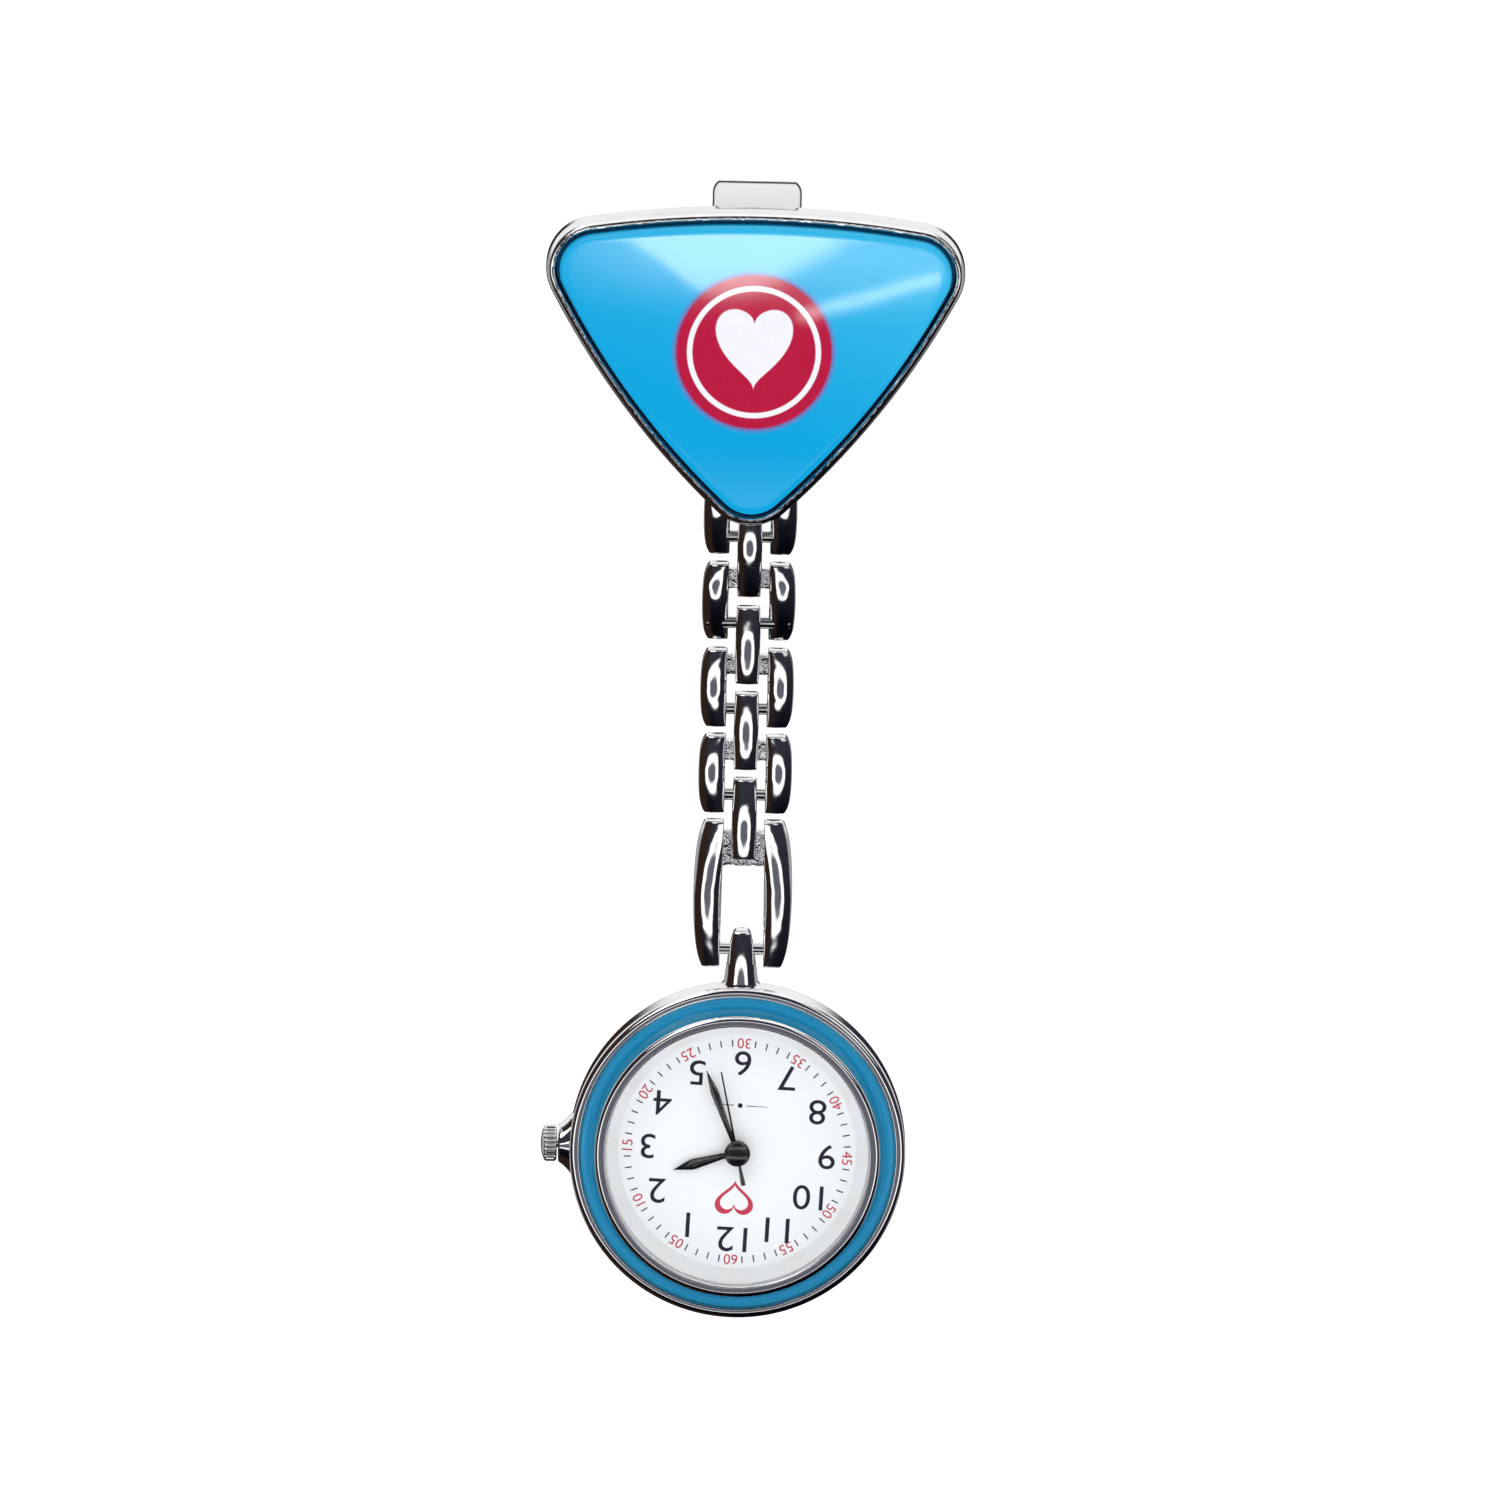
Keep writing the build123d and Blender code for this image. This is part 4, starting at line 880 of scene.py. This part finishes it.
def heart(size, lift):
    """The outline of a heart size mm wide, lift above the dial's centre."""
    spots = []
    for k in range(72):
        a = 2 * math.pi * k / 72
        u = 16 * math.sin(a) ** 3
        v = 13 * math.cos(a) - 5 * math.cos(2 * a) - 2 * math.cos(3 * a) - math.cos(4 * a)
        spots.append((u * size / 32, (v + 2.5) * size / 32 + lift))
    return spots


red.append(band(heart(3.2, MARK_V), heart(2.35, MARK_V)))
dash = ((0.55, -0.035), (2.3, -0.018), (2.3, 0.018), (0.55, 0.035))
for sign in (-1, 1):
    black.append(prism([(sign * u, -MARK_V + v) for u, v in dash]))
dot = [clock(0.2, 18 * k) for k in range(20)]
black.append(prism([(u, v - MARK_V) for u, v in dot]))
piece("dial_figures", black, "ink", "dial", "watch", sharp=40)
piece("dial_minutes", red, "red_ink", "dial", "watch", sharp=40)


# ---- hands
def hand_shell(turn, stations, rear, front):
    """A hand with a low ridge, from its (reach, half width) stations."""
    out = Vector(clock(1.0, turn))
    across = Vector((out.y, -out.x))
    rings = []
    for reach, half in stations:
        ring = []
        for side, h in ((-1, rear), (-1, front - 0.05), (-0.15, front), (0.15, front),
                        (1, front - 0.05), (1, rear)):
            p = out * reach + across * half * side
            ring.append(on_dial(p.x, p.y, h))
        rings.append(ring)
    return loft(rings)


def hub(radius, rear, front, crown, bore):
    """A hand's round middle, with a soft front edge and a face that rises by crown."""
    profile = [(bore, rear), (radius - 0.03, rear), (radius, rear + 0.03), (radius, front - 0.06)]
    for degrees in (20, 40, 60, 80):
        angle = math.radians(degrees)
        profile.append((radius - 0.08 * (1 - math.cos(angle)),
                        front - 0.06 + 0.06 * math.sin(angle)))
    profile += [(bore + (radius - 0.1 - bore) * (1 - k / 6), front + crown * (1 - (1 - k / 6) ** 2))
                for k in range(7)]
    return lathe(profile, 96)


HOUR_STATIONS = [(0.6, 0.22), (1.2, 0.24), (3.75, 0.45), (4.05, 0.42), (5.3, 0.07), (5.54, 0.03)]
MINUTE_STATIONS = [(0.6, 0.16), (1.1, 0.17), (5.3, 0.335), (5.6, 0.33), (7.25, 0.05), (7.46, 0.02)]
SECOND_STATIONS = [(-2.75, 0.2), (-2.6, 0.2), (-1.0, 0.11), (0.0, 0.1), (1.1, 0.09), (7.05, 0.06)]
hour, minute, second = TIME
minute_turn = 6 * (minute + second / 60)
hour_turn = 30 * (hour + minute / 60 + second / 3600)
piece("hand_hour", [hand_shell(hour_turn, HOUR_STATIONS, 1.36, 1.48),
                    hub(1.0, 1.34, 1.5, 0.0, 0.62)],
      "hand_black", "hand_black", "hours", "hour_hand", sharp=12)
piece("hand_minute", [hand_shell(minute_turn, MINUTE_STATIONS, 1.72, 1.84),
                      hub(0.95, 1.7, 1.88, 0.0, 0.4)],
      "hand_black", "hand_black", "minutes", "minute_hand", sharp=12)
piece("hand_second", [hand_shell(6 * second, SECOND_STATIONS, 2.06, 2.16),
                      hub(1.08, 2.04, 2.26, 0.1, 0.0)],
      "hand_black", "hand_black", "seconds", "second_hand", sharp=25)


# ---- crown
def crown_shell():
    teeth, per_tooth = 24, 12
    # (x, radius, how deep the knurling is cut there)
    stations = [(-15.05, 1.2, 0), (-15.06, 1.38, 0), (-15.12, 1.46, 0.3), (-15.2, 1.53, 1),
                (-15.3, 1.55, 1), (-15.9, 1.55, 1), (-16.0, 1.53, 1), (-16.08, 1.46, 0.5),
                (-16.14, 1.36, 0.1), (-16.2, 1.2, 0), (-16.27, 1.0, 0), (-16.33, 0.75, 0),
                (-16.37, 0.5, 0), (-16.395, 0.25, 0), (-16.4, 0.08, 0)]
    rings = []
    for x, radius, knurl in stations:
        ring = []
        for s in range(teeth * per_tooth):
            a = 2 * math.pi * s / (teeth * per_tooth)
            r = radius - 0.16 * knurl * (0.5 - 0.5 * math.cos(teeth * a)) ** 1.3
            ring.append((x, WATCH_Y - STEM_H + r * math.sin(a), WATCH_Z + r * math.cos(a)))
        rings.append(ring)
    return loft(rings)


piece("crown_knurled", [crown_shell()], "chrome", "chrome", "crown", "crown", sharp=40)

# ---- the CAD's own pieces
PLAIN = {
    "steel_sheet": ["back_plate", "clip_base", "cell_strap"],
    "lever": ["clip_lever"],
    "turned_steel": ["case_back"],
    "steel_pin": ["anchor_pin", "clip_pin", "clip_rivets", "link_pin_1", "link_pin_2", "link_pin_3",
                  "link_pin_4", "lug_pin", "crown_tube", "bridge_screws", "stem", "setting_lever"],
    "inlay": ["inlay_card"],
    "gasket": ["crystal_gasket", "back_gasket"],
    "movement_plastic": ["movement_ring", "main_plate", "train_bridge", "fifth_wheel",
                         "third_wheel", "fourth_wheel", "minute_wheel", "hour_wheel",
                         "centre_wheel"],
    "brass_plate": ["cannon_pinion"],
    "cell": ["button_cell", "quartz_can"],
    "board": ["circuit_board"],
    "winding": ["coil"],
    "stator_iron": ["stator", "rotor"],
}
for look, names in PLAIN.items():
    for name in names:
        node = NODES[name]
        node.data.materials.clear()
        node.data.materials.append(LOOK[look])

# ---- floor, light and camera
# from here on, lengths are in metres
FLOOR_Z, FLOOR_CELLS, FLOOR_HALF = -0.16, 24, 9.0
floor_mesh = bpy.data.meshes.new("floor")
grid = bmesh.new()
bmesh.ops.create_grid(grid, x_segments=FLOOR_CELLS, y_segments=FLOOR_CELLS, size=FLOOR_HALF)
for vertex in grid.verts:
    vertex.co.z = FLOOR_Z
grid.to_mesh(floor_mesh)
grid.free()
floor = bpy.data.objects.new("floor", floor_mesh)
SCENE.collection.objects.link(floor)
floor_mesh.materials.append(surface("floor_paper", lambda tree: {
    "Base Color": tree.mix(tree.noise(tree.place()[0], 40.0, 3.0),
                           (0.90, 0.90, 0.90), (0.88, 0.88, 0.885)),
    "Roughness": 0.9, "Specular IOR Level": 0.0, "Emission Color": WHITE,
    "Emission Strength": 0.4}))
floor.visible_glossy = False


DEG = 180 / math.pi
# the level of the mirrored studio, in degrees above the horizon
LEVEL = 2.0


def toward(tree, vector):
    """Azimuth (0 is straight in front) and height of a direction, in degrees, with its x and y."""
    parts = tree.node("ShaderNodeSeparateXYZ", {"Vector": vector})
    x, y, z = parts.outputs
    azimuth = tree.math("MULTIPLY", tree.math("ARCTAN2", x, tree.math("MULTIPLY", y, -1.0)), DEG)
    rise = tree.math("MULTIPLY_ADD", tree.math("ARCSINE", z), DEG, -LEVEL)
    return azimuth, rise, x, y


def oval(tree, azimuth, rise, centre, size, soft):
    """1 inside an oval of directions and 0 outside it; soft is its edge's share of its size."""
    u = tree.math("DIVIDE", tree.math("SUBTRACT", azimuth, centre[0]), size[0])
    v = tree.math("DIVIDE", tree.math("SUBTRACT", rise, centre[1]), size[1])
    return tree.step(tree.radius(u, v), 1.0 + soft, 1.0 - soft)


# the studio's ring of light and its dark middle: centre, half size and soft edge
RING, MIDDLE = ((0.0, -10.5), (46.0, 12.5), 0.07), ((0.5, -11.0), (27.0, 7.5), 0.2)
RING_LIGHT, MIDDLE_LIGHT = (1.4, 1.4, 1.4), (0.12, 0.12, 0.15)
CEILING_EDGE, CEILING_LIGHT = (50.0, 58.0), (1.05, 1.05, 1.05)
SIDE_LIGHT, WALL_LIGHT, SHADE_LIGHT = (0.37, 0.37, 0.38), (0.9, 0.9, 0.91), (0.78, 0.78, 0.78)


def studio(tree):
    """White all round for shading and for the camera; what polished metal mirrors is a dark studio
    with a ring of light in front, a white ceiling and a wall behind the object."""
    azimuth, rise, x, y = toward(tree, tree.node("ShaderNodeTexCoord").outputs["Generated"])
    dark = tree.mix(tree.step(rise, -50.0, 25.0), (0.002, 0.002, 0.004), (0.03, 0.03, 0.045))
    dark = tree.mix(tree.step(azimuth, -25.0, -60.0), dark, (0.026, 0.015, 0.010))
    lit = tree.mix(oval(tree, azimuth, rise, *RING), dark, RING_LIGHT)
    lit = tree.mix(oval(tree, azimuth, rise, *MIDDLE), lit, MIDDLE_LIGHT)
    lit = tree.mix(tree.step(rise, *CEILING_EDGE), lit, CEILING_LIGHT)
    # behind the object: a bright wall above its level, and grey to the left and right
    outer = tree.step(tree.math("ABSOLUTE", x), 0.34, 0.5)
    sides = tree.math("MULTIPLY", tree.step(y, 0.15, 0.35), outer)
    sides = tree.math("MULTIPLY", sides, tree.step(rise, -42.0, -26.0))
    lit = tree.mix(sides, lit, SIDE_LIGHT)
    high = tree.math("MULTIPLY", tree.step(y, 0.3, 0.5), tree.step(rise, 0.0, 5.0))
    lit = tree.mix(high, lit, WALL_LIGHT)
    path = tree.node("ShaderNodeLightPath")
    colour = tree.mix(path.outputs["Is Diffuse Ray"], WHITE, SHADE_LIGHT)
    colour = tree.mix(path.outputs["Is Glossy Ray"], colour, lit)
    back = tree.node("ShaderNodeBackground", {"Color": colour, "Strength": 1.0})
    tree.node("ShaderNodeOutputWorld", {"Surface": back.outputs[0]})


world = bpy.data.worlds.new("studio")
SCENE.world = world
world.use_nodes = True
studio(Tree(world.node_tree))


# the wedge's tip, in degrees below level, and the height over which its sides spread
WEDGE_TIP, WEDGE_TALL = 9.3, 2.6
# the streak's lower end and its run, as azimuth and height in degrees
STREAK_FROM, STREAK_RUN = (2.6, -9.7), (7.0, 2.0)
WEDGE_LIGHT, HAZE_LIGHT, STREAK_LIGHT = 15.0, 5.0, 16.0


def window(tree):
    """A window's light, which only the resin dome mirrors: a wedge that opens upwards, a streak
    rising to its right and a haze over both."""
    place = tree.node("ShaderNodeTexCoord").outputs["Object"]
    along = tree.node("ShaderNodeVectorMath", {0: place}, operation="NORMALIZE").outputs[0]
    azimuth, rise, _, _ = toward(tree, along)
    up = tree.math("MULTIPLY_ADD", rise, 1 / WEDGE_TALL, WEDGE_TIP / WEDGE_TALL)
    left = tree.math("MULTIPLY_ADD", up, -3.8, -2.1)
    right = tree.math("MULTIPLY_ADD", up, 4.2, -1.2)
    wedge = tree.math("MULTIPLY", tree.step(tree.math("SUBTRACT", azimuth, left), -0.2, 0.7),
                      tree.step(tree.math("SUBTRACT", azimuth, right), 1.6, -1.4))
    wedge = tree.math("MULTIPLY", wedge, tree.step(up, 0.0, 0.55))
    haze = tree.math("MULTIPLY", tree.step(rise, -10.4, -6.5),
                     oval(tree, azimuth, rise, (2.0, -4.5), (12.0, 7.5), 0.3))
    # share is how far along the streak the nearest point lies
    du = tree.math("SUBTRACT", azimuth, STREAK_FROM[0])
    dv = tree.math("ADD", rise, -STREAK_FROM[1])
    square = STREAK_RUN[0] ** 2 + STREAK_RUN[1] ** 2
    share = tree.math("ADD", tree.math("MULTIPLY", du, STREAK_RUN[0] / square),
                      tree.math("MULTIPLY", dv, STREAK_RUN[1] / square))
    share = tree.math("MINIMUM", tree.math("MAXIMUM", share, 0.0), 1.0)
    off = tree.radius(tree.math("SUBTRACT", du, tree.math("MULTIPLY", share, STREAK_RUN[0])),
                      tree.math("SUBTRACT", dv, tree.math("MULTIPLY", share, STREAK_RUN[1])))
    streak = tree.step(off, 0.6, 0.0)
    bright = tree.math("MULTIPLY_ADD", wedge, WEDGE_LIGHT, tree.math("MULTIPLY", haze, HAZE_LIGHT))
    bright = tree.math("MULTIPLY_ADD", streak, STREAK_LIGHT, bright)
    bright = tree.math("MULTIPLY", bright, tree.step(rise, -3.0, -5.8))
    glow = tree.node("ShaderNodeEmission", {"Color": WHITE, "Strength": bright})
    gap = tree.node("ShaderNodeBsdfTransparent", {"Color": WHITE})
    return tree.node("ShaderNodeAddShader", {0: glow.outputs[0], 1: gap.outputs[0]}).outputs[0]


# the card's distance, and its corners as azimuth and height in degrees
CARD_AWAY = 4.0
CARD_CORNERS = ((-24, -26), (24, -26), (24, 10), (-24, 10))


def on_card(azimuth, rise):
    return (CARD_AWAY * math.tan(math.radians(azimuth)), -CARD_AWAY,
            CARD_AWAY * math.tan(math.radians(rise)))


card_mesh = bpy.data.meshes.new("window_card")
card_mesh.from_pydata([on_card(*corner) for corner in CARD_CORNERS], [], [(0, 1, 2, 3)])
card = bpy.data.objects.new("window_card", card_mesh)
SCENE.collection.objects.link(card)
card_mesh.materials.append(material("window_light", window))
card.visible_camera = card.visible_diffuse = card.visible_shadow = False
dome_only = bpy.data.collections.new("dome_only")
dome_only.objects.link(bpy.data.objects["dome_resin"])
card.light_linking.receiver_collection = dome_only


LIT_POINT = Vector((0, 0, -0.035))


def softbox(name, spot, size, power):
    """A soft rectangle of light at spot, turned to the middle of the object."""
    light = bpy.data.lights.new(name, "AREA")
    light.shape = "RECTANGLE"
    light.size, light.size_y = size
    light.energy = power
    holder = bpy.data.objects.new(name, light)
    holder.location = spot
    holder.rotation_euler = (LIT_POINT - Vector(spot)).to_track_quat("-Z", "Y").to_euler()
    SCENE.collection.objects.link(holder)


softbox("key", (-0.5, -0.7, 0.75), (0.6, 0.4), 1.6)
softbox("fill", (0.6, -0.5, 0.5), (0.5, 0.5), 0.6)

SCENE.view_settings.view_transform = "Standard"

camera = bpy.data.cameras.new("camera")
camera.lens = 694.0
camera.sensor_width = 36.0
camera.clip_start, camera.clip_end = 0.05, 20.0
viewer = bpy.data.objects.new("camera", camera)
SCENE.collection.objects.link(viewer)
SCENE.camera = viewer
# the camera looks down by RISE at AIM, from REACH away, and is rolled a little
AIM = Vector((0.00036, -0.002, -0.0339))
REACH, RISE, ROLL = 2.4, math.radians(10.0), math.radians(1.2)
away = Vector((0.0, -math.cos(RISE), math.sin(RISE)))
facing = (-away).to_track_quat("-Z", "Y").to_matrix()
rolled = facing @ Matrix.Rotation(ROLL, 3, "Z")
viewer.matrix_world = Matrix.Translation(AIM + away * REACH) @ rolled.to_4x4()
